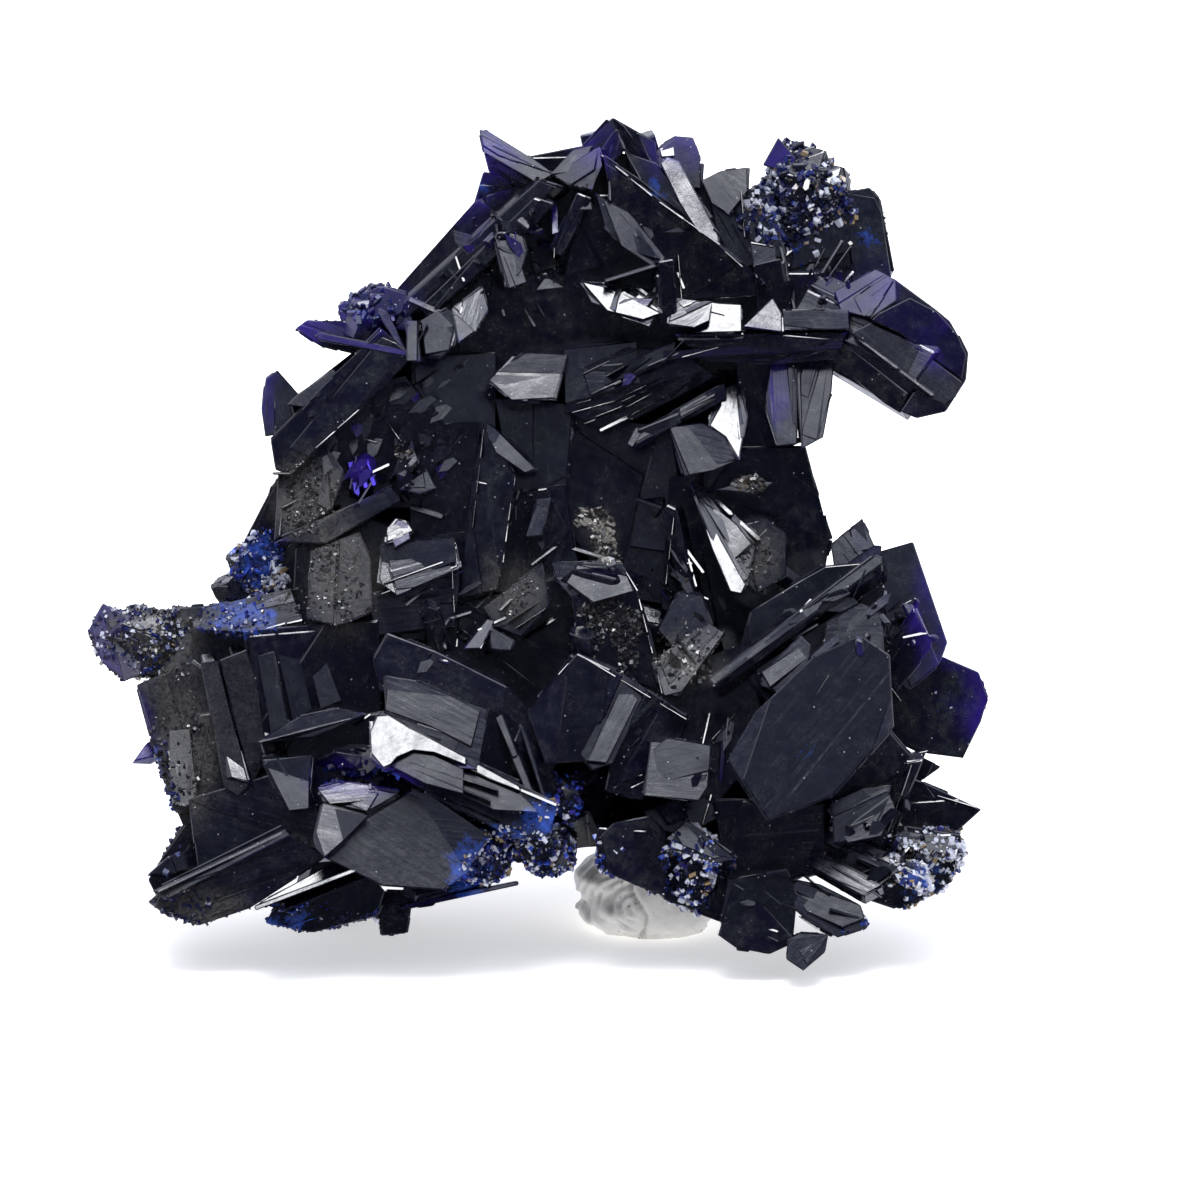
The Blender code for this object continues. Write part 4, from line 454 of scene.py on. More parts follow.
def place(right, up, out):
    """A point of the display face, in the row frame."""
    return ZERO + towards((right, up, out)) * MM


def towards(way):
    """A direction (right, up, out) of the display face, in the row frame."""
    right, up, out = way
    return TILT @ Vector((right, -out, up))


def display(point):
    """The (right, up, out) of a point of the row frame, in millimetres."""
    local = TILT.transposed() @ (point - ZERO) / MM
    return Vector((local.x, local.z, -local.y))


def link(name, bm, material):
    """A new piece from a bmesh, with one material."""
    mesh = bpy.data.meshes.new(name)
    bm.to_mesh(mesh)
    bm.free()
    piece = bpy.data.objects.new(name, mesh)
    bpy.context.scene.collection.objects.link(piece)
    mesh.materials.append(material)
    return piece


# ---------------------------------------------------------------- worn crystal faces

def cluster_faces():
    """The CAD cluster's faces, welded, with one polygon for each flat region."""
    bm = bmesh.new()
    bm.from_mesh(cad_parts["azurite_cluster"].data)
    bmesh.ops.remove_doubles(bm, verts=bm.verts, dist=WELD)
    bmesh.ops.dissolve_limit(bm, angle_limit=FLAT_ANGLE, verts=bm.verts, edges=bm.edges)
    bmesh.ops.dissolve_degenerate(bm, dist=WELD, edges=bm.edges)
    return bm


def add_edge_points(bm):
    """Splits long edges, so that a bevel that narrows at one end is narrow only there."""
    for edge in list(bm.edges):
        vert = edge.verts[0]
        for pieces in range(int(edge.calc_length() / (EDGE_STEP * MM)) + 1, 1, -1):
            _, vert = bmesh.utils.edge_split(edge, vert, 1.0 / pieces)


def edge_width(edge):
    """How far an edge is worn back: nothing where it is hollow or nearly flat."""
    if len(edge.link_faces) != 2:
        return 0.0
    angle = edge.calc_face_angle_signed(0.0)
    return BEVEL * MM if angle > SHARP else 0.0


def inner_corner(loop, width_before, width_after):
    """The corner of a face once its two edges are worn back by their widths."""
    corner = loop.vert.co
    normal = loop.face.normal
    before = loop.link_loop_prev.vert.co - corner
    after = loop.link_loop_next.vert.co - corner
    room = WORN_MOST * min(before.length, after.length)
    inward_before = normal.cross(-before).normalized()
    inward_after = normal.cross(after).normalized()
    width_before = min(width_before, room)
    width_after = min(width_after, room)
    cosine = inward_before.dot(inward_after)
    if cosine > STRAIGHT_ON:
        return corner + (inward_before * width_before + inward_after * width_after) / 2.0
    if cosine < DOUBLED_BACK:
        return corner.copy()
    scale = 1.0 / (1.0 - cosine * cosine)
    part_before = (width_before - cosine * width_after) * scale
    part_after = (width_after - cosine * width_before) * scale
    move = inward_before * part_before + inward_after * part_after
    limit = WORN_REACH * max(width_before, width_after)
    if move.length > limit:
        move *= limit / move.length
    return corner + move


def fan_corners(vert, corners):
    """The worn corners round a point, in the order of its faces."""
    start = vert.link_loops[0]
    ring = []
    loop = start
    for _ in range(len(vert.link_loops) + 1):
        ring.append(corners[loop.index])
        following = loop.link_loop_prev.link_loop_radial_next
        if following.vert is not vert:
            return None
        loop = following
        if loop is start:
            return ring
    return None


def worn(bm):
    """A copy whose protruding edges are bevelled. Its faces keep their old number in the layer "facet"."""
    bm.faces.index_update()
    widths = {edge: edge_width(edge) for edge in bm.edges}
    out = bmesh.new()
    facet = out.faces.layers.int.new("facet")
    corners = {}
    number = 0
    for face in bm.faces:
        for loop in face.loops:
            loop.index = number
            spot = inner_corner(loop, widths[loop.link_loop_prev.edge], widths[loop.edge])
            corners[number] = out.verts.new(spot)
            number += 1
    for face in bm.faces:
        new = out.faces.new([corners[loop.index] for loop in face.loops])
        new[facet] = face.index
    for edge in bm.edges:
        if len(edge.link_loops) != 2:
            continue
        one, two = edge.link_loops
        strip = out.faces.new([corners[one.index], corners[two.link_loop_next.index],
                               corners[two.index], corners[one.link_loop_next.index]])
        strip[facet] = -1
    for vert in bm.verts:
        if len(vert.link_loops) < 3:
            continue
        ring = fan_corners(vert, corners)
        if ring:
            cap = out.faces.new(ring)
            cap[facet] = -1
    bmesh.ops.remove_doubles(out, verts=out.verts, dist=WELD / 4.0)
    bmesh.ops.dissolve_degenerate(out, dist=WELD / 8.0, edges=out.edges)
    return out


def refined(bm, step):
    """Triangles whose sides are short enough to carry colour that changes inside a face."""
    bmesh.ops.triangulate(bm, faces=bm.faces)
    for _ in range(REFINE_PASSES):
        long_edges = [e for e in bm.edges if e.calc_length() > step * MM]
        if not long_edges:
            break
        bmesh.ops.subdivide_edges(bm, edges=long_edges, cuts=1)
        bmesh.ops.triangulate(bm, faces=[f for f in bm.faces if len(f.verts) > 3])
    return bm


# ---------------------------------------------------------------- the flat faces of the cluster

Sheet = namedtuple("Sheet", "origin normal long across outline area")
Look = namedtuple("Look", "along chance dull tint violet")
WORN_LOOK = Look(Vector((1.0, 0.0, 0.0)), 0.5, 0.0, 0.5, 0.0)


def plane_groups(bm):
    """One number for each flat face of the CAD cluster, the same for all the parts of one plane."""
    normals = np.array([f.normal for f in bm.faces])
    offsets = np.array([f.normal.dot(f.verts[0].co) for f in bm.faces]) / MM
    groups = -np.ones(len(normals), int)
    count = 0
    for index in range(len(normals)):
        if groups[index] >= 0:
            continue
        same = (normals @ normals[index] > PLANE_TURN) & (abs(offsets - offsets[index]) < PLANE_SHIFT)
        groups[same & (groups < 0)] = count
        count += 1
    return groups


def polygon_area(outline):
    """The area of a plane outline, positive when it runs anticlockwise."""
    following = outline[1:] + outline[:1]
    return sum(a[0] * b[1] - b[0] * a[1] for a, b in zip(outline, following)) / 2.0


def near_parts(faces):
    """The faces of one plane, in lists of faces that lie near each other."""
    left = list(faces)
    parts = []
    while left:
        part = [left.pop()]
        for member in part:
            spots = [v.co for v in member.verts]
            near = [face for face in left
                    if any((v.co - p).length < NEAR_PARTS * MM for v in face.verts for p in spots)]
            part.extend(near)
            left = [f for f in left if f not in near]
        parts.append(part)
    return parts


def flat_sheets(bm, groups):
    """Each plane's own frame, and the convex outline of its parts in millimetres."""
    planes = {}
    for face in bm.faces:
        planes.setdefault(int(groups[face.index]), []).append(face)
    members = {}
    for _, faces in sorted(planes.items()):
        for part in near_parts(faces):
            members[len(members)] = part
            for face in part:
                groups[face.index] = len(members) - 1
    return {group: sheet_of(faces) for group, faces in sorted(members.items())}


def sheet_of(faces):
    """The frame and the convex outline of faces in one plane. Its long way is theirs."""
    spots = np.array([v.co for face in faces for v in face.verts])
    origin = Vector(spots.mean(axis=0))
    normal = max(faces, key=lambda face: face.calc_area()).normal.copy()
    long = Vector(np.linalg.svd(spots - spots.mean(axis=0), full_matrices=False)[2][0])
    long = (long - normal * long.dot(normal)).normalized()
    across = long.cross(normal)
    flat = [((Vector(p) - origin).dot(across) / MM, (Vector(p) - origin).dot(long) / MM) for p in spots]
    outline = [flat[i] for i in convex_hull_2d(flat)]
    if polygon_area(outline) < 0.0:
        outline.reverse()
    return Sheet(origin, normal, long, across, outline, abs(polygon_area(outline)))


def clipped(outline, way, low, high):
    """The part of a convex outline that lies between two lines across a direction."""
    for limit, sign in ((low, 1.0), (high, -1.0)):
        kept = []
        for here, there in zip(outline, outline[1:] + outline[:1]):
            one = sign * (here[0] * way[0] + here[1] * way[1] - limit)
            two = sign * (there[0] * way[0] + there[1] * way[1] - limit)
            if one >= 0.0:
                kept.append(here)
            if (one > 0.0 > two) or (one < 0.0 < two):
                part = one / (one - two)
                kept.append((here[0] + (there[0] - here[0]) * part, here[1] + (there[1] - here[1]) * part))
        outline = kept
        if len(outline) < 3:
            return []
    return outline


def extent(outline, way):
    """How far an outline reaches along a direction, as its lowest and highest place."""
    reach = [p[0] * way[0] + p[1] * way[1] for p in outline]
    return min(reach), max(reach)


def shrunk(outline, part, point):
    """The outline drawn in towards a point."""
    x, y = point
    return [(x + (p[0] - x) * part, y + (p[1] - y) * part) for p in outline]


def middle(outline):
    """The mean of an outline's points."""
    return (sum(p[0] for p in outline) / len(outline), sum(p[1] for p in outline) / len(outline))


class Growth:
    """Closed solids gathered in one mesh, with the look of each."""

    def __init__(self, tree):
        self.bm = bmesh.new()
        self.looks = []
        self.tree = tree

    def add(self, points, faces, look):
        """One more closed solid."""
        verts = [self.bm.verts.new(point) for point in points]
        for face in faces:
            self.bm.faces.new([verts[i] for i in face])
            self.looks.append(look)

    def in_air(self, spot):
        """Whether a point is clear of the cluster."""
        near, normal, _, distance = self.tree.find_nearest(spot)
        return distance > AIR * MM and (spot - near).dot(normal) > 0.0

    def prism(self, low, high, look):
        """A closed solid between two rings of points that run the same way, the low ring hidden."""
        count = len(low)
        turn = sum((a.cross(b) for a, b in zip(high, high[1:] + high[:1])), Vector())
        if turn.dot(sum(high, Vector()) - sum(low, Vector())) < 0.0:
            low = low[::-1]
            high = high[::-1]
        faces = [tuple(range(count, 2 * count)), tuple(reversed(range(count)))]
        faces += [(i, (i + 1) % count, count + (i + 1) % count, count + i) for i in range(count)]
        self.add(list(low) + list(high), faces, look)

    def slab(self, sheet, outline, height, lean, look):
        """A low tilted slab on a flat face. It leans by lean, in millimetres of height a millimetre."""
        if len(outline) < 3 or polygon_area(outline) < SLIVER:
            return
        centre = middle(outline)
        low = []
        high = []
        for u, v in outline:
            rise = height + lean[0] * (u - centre[0]) + lean[1] * (v - centre[1])
            spot = sheet.origin + (sheet.across * u + sheet.long * v) * MM
            if self.in_air(spot):
                return
            low.append(spot - sheet.normal * SLAB_ROOT * MM)
            high.append(spot + sheet.normal * max(rise, SLAB_LEAST) * MM)
        self.prism(low, high, look)

    def crystal(self, root, axis, length, width, dice, look):
        """A small six-sided crystal with a slanted end. Its root and axis are in the row frame."""
        side = Matrix.Rotation(dice.uniform(0.0, FULL_TURN), 3, axis) @ axis.orthogonal().normalized()
        other = axis.cross(side)
        slant = dice.uniform(*CRYSTAL_SLANT)
        low = []
        high = []
        for a, b in CRYSTAL_RING:
            offset = (side * a + other * b) * width * MM / 2.0
            low.append(root - axis * CRYSTAL_ROOT * length * MM + offset * CRYSTAL_TAPER[0])
            top = root + axis * (length - slant * width * (0.5 + a / 2.0)) * MM
            high.append(top + offset * CRYSTAL_TAPER[1])
        self.prism(low, high, look)

    def facet(self, facet, surface, dice):
        """A crystal with one flat face turned as the facet says, just clear of what lies under it."""
        centre = middle(facet.corners)
        right, up = facet.turn
        out = math.sqrt(1.0 - right * right - up * up)

        def plane(spot):
            return -(right * (spot[0] - centre[0]) + up * (spot[1] - centre[1])) / out

        probes = list(facet.corners) + [centre] + shrunk(facet.corners, FACET_PROBE, centre)
        under = [(surface(*spot), plane(spot)) for spot in probes]
        lift = facet.out
        if lift is None:
            needs = sorted(depth - rise for depth, rise in under if depth is not None)
            if not needs:
                return
            lift = needs[int(SUNK * (len(needs) - 1))] + FACET_CLEAR
        depths = [depth for depth, _ in under if depth is not None]
        floor = min(depths + [lift + min(rise for _, rise in under)])
        high = [place(*spot, lift + plane(spot)) for spot in facet.corners]
        low = [place(*spot, floor - FACET_ROOT) for spot in shrunk(facet.corners, FACET_TAPER, centre)]
        long = max(zip(high, high[1:] + high[:1]), key=lambda pair: (pair[1] - pair[0]).length)
        along = (long[1] - long[0]).normalized()
        self.prism(low, high, Look(along, dice.random(), facet.dull, dice.random(), facet.violet))

    def stroke(self, stroke, surface, dice):
        """A narrow crystal between two places of the display face. A steep one is a row of short ones."""
        root = Vector(stroke.root)
        run = Vector(stroke.tip) - root
        along = run.normalized()
        half = Vector((-along.y, along.x)) * stroke.width / 2.0
        right, up = stroke.turn
        rise = abs(right * run.x + up * run.y) / math.sqrt(1.0 - right * right - up * up)
        pieces = max(1, math.ceil(rise / STROKE_RISE))
        for index in range(pieces):
            start = root + run * (index - dice.uniform(0.0, STROKE_OVERLAP)) / pieces
            stop = root + run * (index + dice.uniform(STROKE_SHORT, 1.0 + STROKE_OVERLAP)) / pieces
            taper = dice.uniform(*STROKE_TAPER)
            point = stop + half * 0.2 + along * stroke.width * dice.uniform(*STROKE_POINT)
            spots = (start + half * taper, start - half * taper, stop - half, point, stop + half)
            corners = tuple((spot.x, spot.y) for spot in spots)
            self.facet(Facet(stroke.turn, corners, stroke.violet), surface, dice)

    def chips(self, zone, surface, dice):
        """Many small faces and edges of one part of the display face, most of them along one direction."""
        for _ in range(zone.count):
            turn = dice.uniform(0.0, FULL_TURN)
            reach = math.sqrt(dice.random())
            right = zone.right + zone.wide * reach * math.cos(turn)
            up = zone.up + zone.tall * reach * math.sin(turn)
            if surface(right, up) is None:
                continue
            angle = math.radians(zone.angle + dice.gauss(0.0, CHIP_SWING))
            along = Vector((math.cos(angle), math.sin(angle)))
            right_turn = dice.gauss(0.0, CHIP_STRAY[0])
            facing = (right_turn, dice.choice(CHIP_TURNS) + dice.gauss(0.0, CHIP_STRAY[1]))
            violet = dice.uniform(0.3, 0.8) if dice.random() < CHIP_VIOLET else 0.0
            chip = self.chip_edge if dice.random() < CHIP_EDGES else self.chip_face
            chip((right, up), along, facing, violet, surface, dice)

    def chip_edge(self, spot, along, facing, violet, surface, dice):
        """A short narrow crystal from a place along a direction."""
        tip = Vector(spot) + along * dice.uniform(*CHIP_EDGE_LONG)
        width = dice.uniform(*CHIP_EDGE_WIDE)
        if dice.random() < CHIP_BRIGHT_PART:
            facing = CHIP_BRIGHT
        if level_enough((spot, tip, Vector(spot).lerp(tip, 0.5)), surface):
            self.stroke(Stroke(spot, (tip.x, tip.y), width, facing, violet), surface, dice)

    def chip_face(self, spot, along, facing, violet, surface, dice):
        """A small face round a place, longest along a direction."""
        facing = (facing[0], min(facing[1], CHIP_FACE_TURN))
        long = dice.uniform(*CHIP_FACE_LONG)
        wide = dice.uniform(*CHIP_FACE_WIDE)
        side = Vector((-along.y, along.x))
        ring = [Vector(spot) + along * long * a + side * wide * b * dice.uniform(*CHIP_UNEVEN)
                for a, b in CHIP_RING]
        if level_enough(ring, surface):
            self.facet(Facet(facing, tuple((p.x, p.y) for p in ring), violet), surface, dice)


def level_enough(spots, surface):
    """Whether the surface goes on under all these places, without a cliff between them."""
    depths = [surface(*spot) for spot in spots]
    return None not in depths and max(depths) - min(depths) < CHIP_CLIFF


def look_along(dice, along, dull=0.0, violet=0.0):
    """A crystal's own look: the way its lines run, and how it differs from its neighbours."""
    return Look(along.copy(), dice.random(), dull, dice.random(), violet)


# Growth steps. Pairs of chances and of leans are for small faces and large ones; leans are in degrees.
SPLIT_WIDTH = 1.1               # a wider face may be split lengthwise,
SPLIT_CHANCE = 0.6              # with this chance,
SPLIT_AT = (0.3, 0.7)           # at this part of its width,
SPLIT_TURN = 9.0                # up to about this far off its long way
STEP_WIDTH = 0.25               # narrower parts stay bare
BARE_CHANCE = 0.3               # and so do some of the others
STEP_MARGIN = 0.03              # the gap beside a step
STEP_SIZE = 0.985               # it is drawn in to this part of its size
STEP_SKEW = 0.35                # how askew its ends are
SHORT_CHANCE = 0.8              # many steps are short:
STEP_FOOT = (-0.3, 0.45)        # they start at this part of the length
STEP_TOP = (0.5, 1.4)           # or else end at this one
STEP_LEAN = (2.6, 1.6)          # how far they lean across
STEP_NOD = 1.0                  # and along
STEP_RISE = 0.03                # their height besides what the lean asks for
LINED_CHANCE = (0.6, 0.35)      # how many carry lines

# Lines, which come in bundles side by side.
LINE_START = (0.0, 0.4)         # the first one is at this part of the width
LINE_WIDTHS = (0.05, 0.08, 0.12, 0.22)
LINE_GAP = 0.2                  # the usual gap between two
FIRST_BUNDLE = (0.5, 1.5)       # the width of the first bundle
LINE_BUNDLE = (0.2, 1.0)        # and of the others
BUNDLE_GAP = (0.3, 1.5)         # the gap between two bundles
LINE_MARGIN = 0.08              # no line starts nearer to the far side than this
LINE_SHORT = (-0.3, 0.7)        # the part that is left out at each end
LINE_LEAST = 0.3                # the shortest one
LINE_SKEW = (-0.1, 0.1)         # how askew its ends are
LINE_LEAN = (8.0, 4.0)
LINE_RISE = (0.005, 0.03)       # how far they stand above their step


def grow_on_sheet(steps, lines, sheet, dice):
    """Growth steps on one flat face: parts that lean a little, some of them lined lengthwise."""
    low, high = extent(sheet.outline, (1.0, 0.0))
    width = high - low
    large = sheet.area > LARGE_SHEET
    cut = low + width * dice.uniform(*SPLIT_AT)
    bounds = [low, cut, high] if width > SPLIT_WIDTH and dice.random() < SPLIT_CHANCE else [low, high]
    turn = math.radians(dice.gauss(0.0, SPLIT_TURN))
    way = (math.cos(turn), math.sin(turn))
    for near, far in zip(bounds, bounds[1:]):
        if far - near < STEP_WIDTH or dice.random() < BARE_CHANCE:
            continue
        part = clipped(sheet.outline, way, near + STEP_MARGIN, far - STEP_MARGIN)
        if not part:
            continue
        bottom, top = extent(part, (0.0, 1.0))
        skew = dice.gauss(0.0, STEP_SKEW)
        cut = bottom + (top - bottom) * dice.uniform(*STEP_FOOT)
        stop = top if cut > bottom else bottom + (top - bottom) * dice.uniform(*STEP_TOP)
        part = clipped(part, (skew, 1.0), cut, stop) if dice.random() < SHORT_CHANCE else part
        if not part:
            continue
        part = shrunk(part, STEP_SIZE, middle(part))
        lean = (math.tan(math.radians(dice.gauss(0.0, STEP_LEAN[large]))),
                math.tan(math.radians(dice.gauss(0.0, STEP_NOD))))
        rise = STEP_RISE + 0.5 * abs(lean[0]) * (far - near)
        steps.slab(sheet, part, rise, lean, look_along(dice, sheet.long))
        if dice.random() < LINED_CHANCE[large]:
            line_sheet(lines, sheet, part, rise, dice)


def line_sheet(lines, sheet, part, rise, dice):
    """Narrow ridges that run along a part of a face, in bundles."""
    low, high = extent(part, (1.0, 0.0))
    where = low + (high - low) * dice.uniform(*LINE_START)
    bundle = dice.uniform(*FIRST_BUNDLE)
    swing = LINE_LEAN[sheet.area > LARGE_SHEET]
    while where < high - LINE_MARGIN:
        width = dice.choice(LINE_WIDTHS)
        strip = clipped(part, (1.0, 0.0), where, where + width)
        if strip:
            near, far = extent(strip, (0.0, 1.0))
            start = near + (far - near) * max(0.0, dice.uniform(*LINE_SHORT))
            stop = far - (far - near) * max(0.0, dice.uniform(*LINE_SHORT))
            if stop - start > LINE_LEAST:
                strip = clipped(strip, (dice.uniform(*LINE_SKEW), 1.0), start, stop)
                lean = (math.tan(math.radians(dice.gauss(0.0, swing))), 0.0)
                height = rise + dice.uniform(*LINE_RISE)
                lines.slab(sheet, strip, height, lean, look_along(dice, sheet.long))
        bundle -= width
        where += width + dice.expovariate(1.0 / LINE_GAP)
        if bundle < 0.0:
            bundle = dice.uniform(*LINE_BUNDLE)
            where += dice.uniform(*BUNDLE_GAP)


def thinness(tree, point, inward):
    """How thin the stone is below a point inside it, from 0 to 1."""
    depth = THIN_DEPTH * MM
    side = inward.orthogonal().normalized()
    other = inward.cross(side)
    ways = [inward]
    for index in range(THIN_RAYS - 1):
        turn = 2.0 * math.pi * index / (THIN_RAYS - 1)
        ways.append((inward + THIN_SPREAD * (side * math.cos(turn) + other * math.sin(turn))).normalized())
    total = 0.0
    for way in ways:
        hit = tree.ray_cast(point, way, depth)
        if hit[0] is not None and hit[1].dot(way) < 0.0:
            hit = tree.ray_cast(hit[0] + way * THIN_START * MM, way, depth)
        total += (hit[3] if hit[0] is not None else depth) / depth
    return 1.0 - total / THIN_RAYS


def zone_weight(zones, spot):
    """How strongly a place on the display face belongs to any of the zones, from 0 to 1."""
    strongest = 0.0
    for right, up, wide, tall in zones:
        away = math.hypot((spot.x - right) / wide, (spot.y - up) / tall)
        strongest = max(strongest, min(1.0, max(0.0, (ZONE_REACH - away) / ZONE_EDGE)))
    return strongest


def paint(piece, name, kind, domain, values):
    """Writes a layer that the materials read."""
    layer = piece.data.attributes.new(name, kind, domain)
    key = {"FLOAT": "value", "FLOAT_VECTOR": "vector", "FLOAT_COLOR": "color"}[kind]
    layer.data.foreach_set(key, [number for value in values for number in value])


def numbered(bm):
    """The same solids, whose faces keep their number in the layer "facet"."""
    facet = bm.faces.layers.int.new("facet")
    bm.faces.index_update()
    for face in bm.faces:
        face[facet] = face.index
    return bm


def crystal_piece(name, bm, looks, tree, material, bevelled=True, step=FACE_STEP):
    """A piece from closed solids: worn edges, and the layers that the azurite material reads."""
    bm.normal_update()
    work = refined(worn(bm) if bevelled else numbered(bm), step)
    if bevelled:
        bm.free()
    work.normal_update()
    facet = work.faces.layers.int["facet"]
    owners = [f[facet] for f in work.faces]
    depth = []
    zones = []
    for vert in work.verts:
        spot = display(vert.co)
        depth.append(thinness(tree, vert.co - vert.normal * THIN_START * MM, -vert.normal))
        front = min(1.0, max(0.0, (spot.z + ZONE_BACK) / ZONE_FADE))
        weights = [front * zone_weight(kind, spot) for kind in (VIOLET_ZONES, DULL_ZONES, BLUE_ZONES)]
        zones.append((*weights, 1.0))
    piece = link(name, work, material)
    chosen = [looks[i] if i >= 0 else WORN_LOOK for i in owners]
    paint(piece, "along", "FLOAT_VECTOR", "FACE", [look.along for look in chosen])
    paint(piece, "kind", "FLOAT_COLOR", "FACE",
          [(look.chance, look.dull, look.tint, look.violet) for look in chosen])
    paint(piece, "thin", "FLOAT", "POINT", [(part,) for part in depth])
    paint(piece, "zone", "FLOAT_COLOR", "POINT", zones)
    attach(piece, "root")
    return piece


# ---------------------------------------------------------------- druse

# Grains: their sides, in sizes, how askew they are, and how much rarer the large ones are.
GRAIN_LONG = (0.8, 1.7)
GRAIN_WIDE = (0.6, 1.0)
GRAIN_DEEP = (0.4, 0.8)
GRAIN_SKEW = (-0.6, 0.6)
GRAIN_TILT = (-0.5, 0.5)
GRAIN_RARITY = 2.5

# A patch's edge: how far triangles are looked for, where it lies, how ragged it is and how finely.
PATCH_SEARCH = 1.2
PATCH_EDGE = 0.82
PATCH_RAGGED = 0.5
PATCH_FINE = 1.1

# Tufts: the length and the width of their crystals, as parts of the patch's size.
TUFT_LONG = 0.55
TUFT_WIDE = (0.35, 0.7)

# Crystals of the sides and the back.
BACK_GROUND = 0.35              # their ground turns to the front no more than this
BACK_UPRIGHT = 0.75             # how much they follow its normal
BACK_WILD = 0.6                 # and how much they stray
BACK_STEEP = 0.1                # those that lie flatter than this are left out
BACK_LONG = (0.8, 4.2)          # their length
BACK_WIDE = (0.18, 0.5)         # and their width, as a part of it
BACK_VIOLET = 0.2               # this part of them is violet
BACK_SPOTS = (0.3, 0.6, 1.0)    # the parts of their length that must be hidden from the front


def grain_points(dice, size):
    """The eight corners of one tiny crystal round its middle, with a slanted end."""
    long = size * dice.uniform(*GRAIN_LONG)
    wide = size * dice.uniform(*GRAIN_WIDE)
    deep = size * dice.uniform(*GRAIN_DEEP)
    skew = dice.uniform(*GRAIN_SKEW)
    tilt = dice.uniform(*GRAIN_TILT)
    return [Vector((x * wide / 2, y * deep / 2, z * long / 2 + (x * skew * wide + y * tilt * deep) / 2))
            for z in (-1, 1) for x, y in ((-1, -1), (1, -1), (1, 1), (-1, 1))]


GRAIN_FACES = ((3, 2, 1, 0), (4, 5, 6, 7), (0, 1, 5, 4), (1, 2, 6, 5), (2, 3, 7, 6), (3, 0, 4, 7))


def surface_samples(mesh):
    """The triangles of a mesh: three corners, the normal and the running total of their area."""
    mesh.calc_loop_triangles()
    corners = np.array([[mesh.vertices[i].co for i in t.vertices] for t in mesh.loop_triangles])
    crossed = np.cross(corners[:, 1] - corners[:, 0], corners[:, 2] - corners[:, 0])
    area = np.linalg.norm(crossed, axis=1) / 2.0
    return corners, crossed / (2.0 * area[:, None] + 1e-20), area


class Scatter:
    """Chance places on the surface of the cluster."""

    def __init__(self, mesh, dice):
        self.dice = dice
        self.corners, self.normals, self.area = surface_samples(mesh)
        self.shown = np.array([display(Vector(c)) for c in self.corners.mean(axis=1)])
        self.outward = -np.array([(TILT.transposed() @ Vector(n)).y for n in self.normals])

    def places(self, chosen, count):
        """Places on the chosen triangles: the point, its normal and its place on the display face."""
        if not chosen.any():
            return
        weight = np.cumsum(np.where(chosen, self.area, 0.0))
        for _ in range(count):
            index = int(np.searchsorted(weight, self.dice.random() * weight[-1]))
            a, b = sorted((self.dice.random(), self.dice.random()))
            one, two, three = (Vector(corner) for corner in self.corners[index])
            spot = one * a + two * (b - a) + three * (1.0 - b)
            yield spot, Vector(self.normals[index]), display(spot)

    def over(self, patch):
        """Places inside a patch, whose edge is ragged."""
        sideways = (self.shown[:, 0] - patch.right) / patch.wide
        away = np.hypot(sideways, (self.shown[:, 1] - patch.up) / patch.tall)
        chosen = (away < PATCH_SEARCH) & (self.outward > patch.least) & (self.shown[:, 2] > patch.behind)
        for spot, normal, shown in self.places(chosen, patch.count):
            away = math.hypot((shown.x - patch.right) / patch.wide, (shown.y - patch.up) / patch.tall)
            if away < PATCH_EDGE + PATCH_RAGGED * noise.noise(shown * PATCH_FINE):
                yield spot, normal

    def axis(self, normal, wild):
        """A direction near a normal."""
        stray = Vector([self.dice.gauss(0.0, 1.0) for _ in range(3)])
        return (normal + wild * stray).normalized()


def druse_piece(name, scatter, patches, material):
    """Tiny crystals grown over patches of the surface."""
    dice = scatter.dice
    bm = bmesh.new()
    values = []
    for patch in patches:
        for spot, normal in scatter.over(patch):
            size = patch.size[0] + (patch.size[1] - patch.size[0]) * dice.random() ** GRAIN_RARITY
            axis = scatter.axis(normal, patch.wild)
            spin = Matrix.Rotation(dice.uniform(0.0, FULL_TURN), 3, "Z")
            turn = axis.to_track_quat("Z", "Y").to_matrix() @ spin
            lift = normal * size * patch.proud
            verts = [bm.verts.new(spot + (turn @ p + lift) * MM) for p in grain_points(dice, size)]
            # The third channel is how likely a grain is painted pale as a glint, a painted highlight.
            value = (dice.random(), patch.blue * dice.uniform(0.5, 1.0), patch.white, 1.0)
            for face in GRAIN_FACES:
                bm.faces.new([verts[i] for i in face])
                values.append(value)
    piece = link(name, bm, material)
    paint(piece, "kind", "FLOAT_COLOR", "FACE", values)
    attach(piece, "root")


def grow_tufts(growth, scatter, patches):
    """Small pointed crystals over patches of the surface."""
    dice = scatter.dice
    for patch in patches:
        for spot, normal in scatter.over(patch):
            length = dice.uniform(*patch.size)
            axis = scatter.axis(normal, patch.wild)
            violet = patch.blue if dice.random() < patch.blue else 0.0
            look = look_along(dice, axis, 0.0, violet)
            width = length * dice.uniform(*TUFT_WIDE)
            growth.crystal(spot, axis, length * TUFT_LONG, width, dice, look)


def hidden(spot, width, surface):
    """Whether something stands before a point, seen from the front."""
    shown = display(spot)
    front = surface(shown.x, shown.y)
    sides = ((1, 0), (-1, 0), (0, 1), (0, -1))
    beside = [surface(shown.x + right * width, shown.y + up * width) for right, up in sides]
    return front is not None and front > shown.z + width and None not in beside


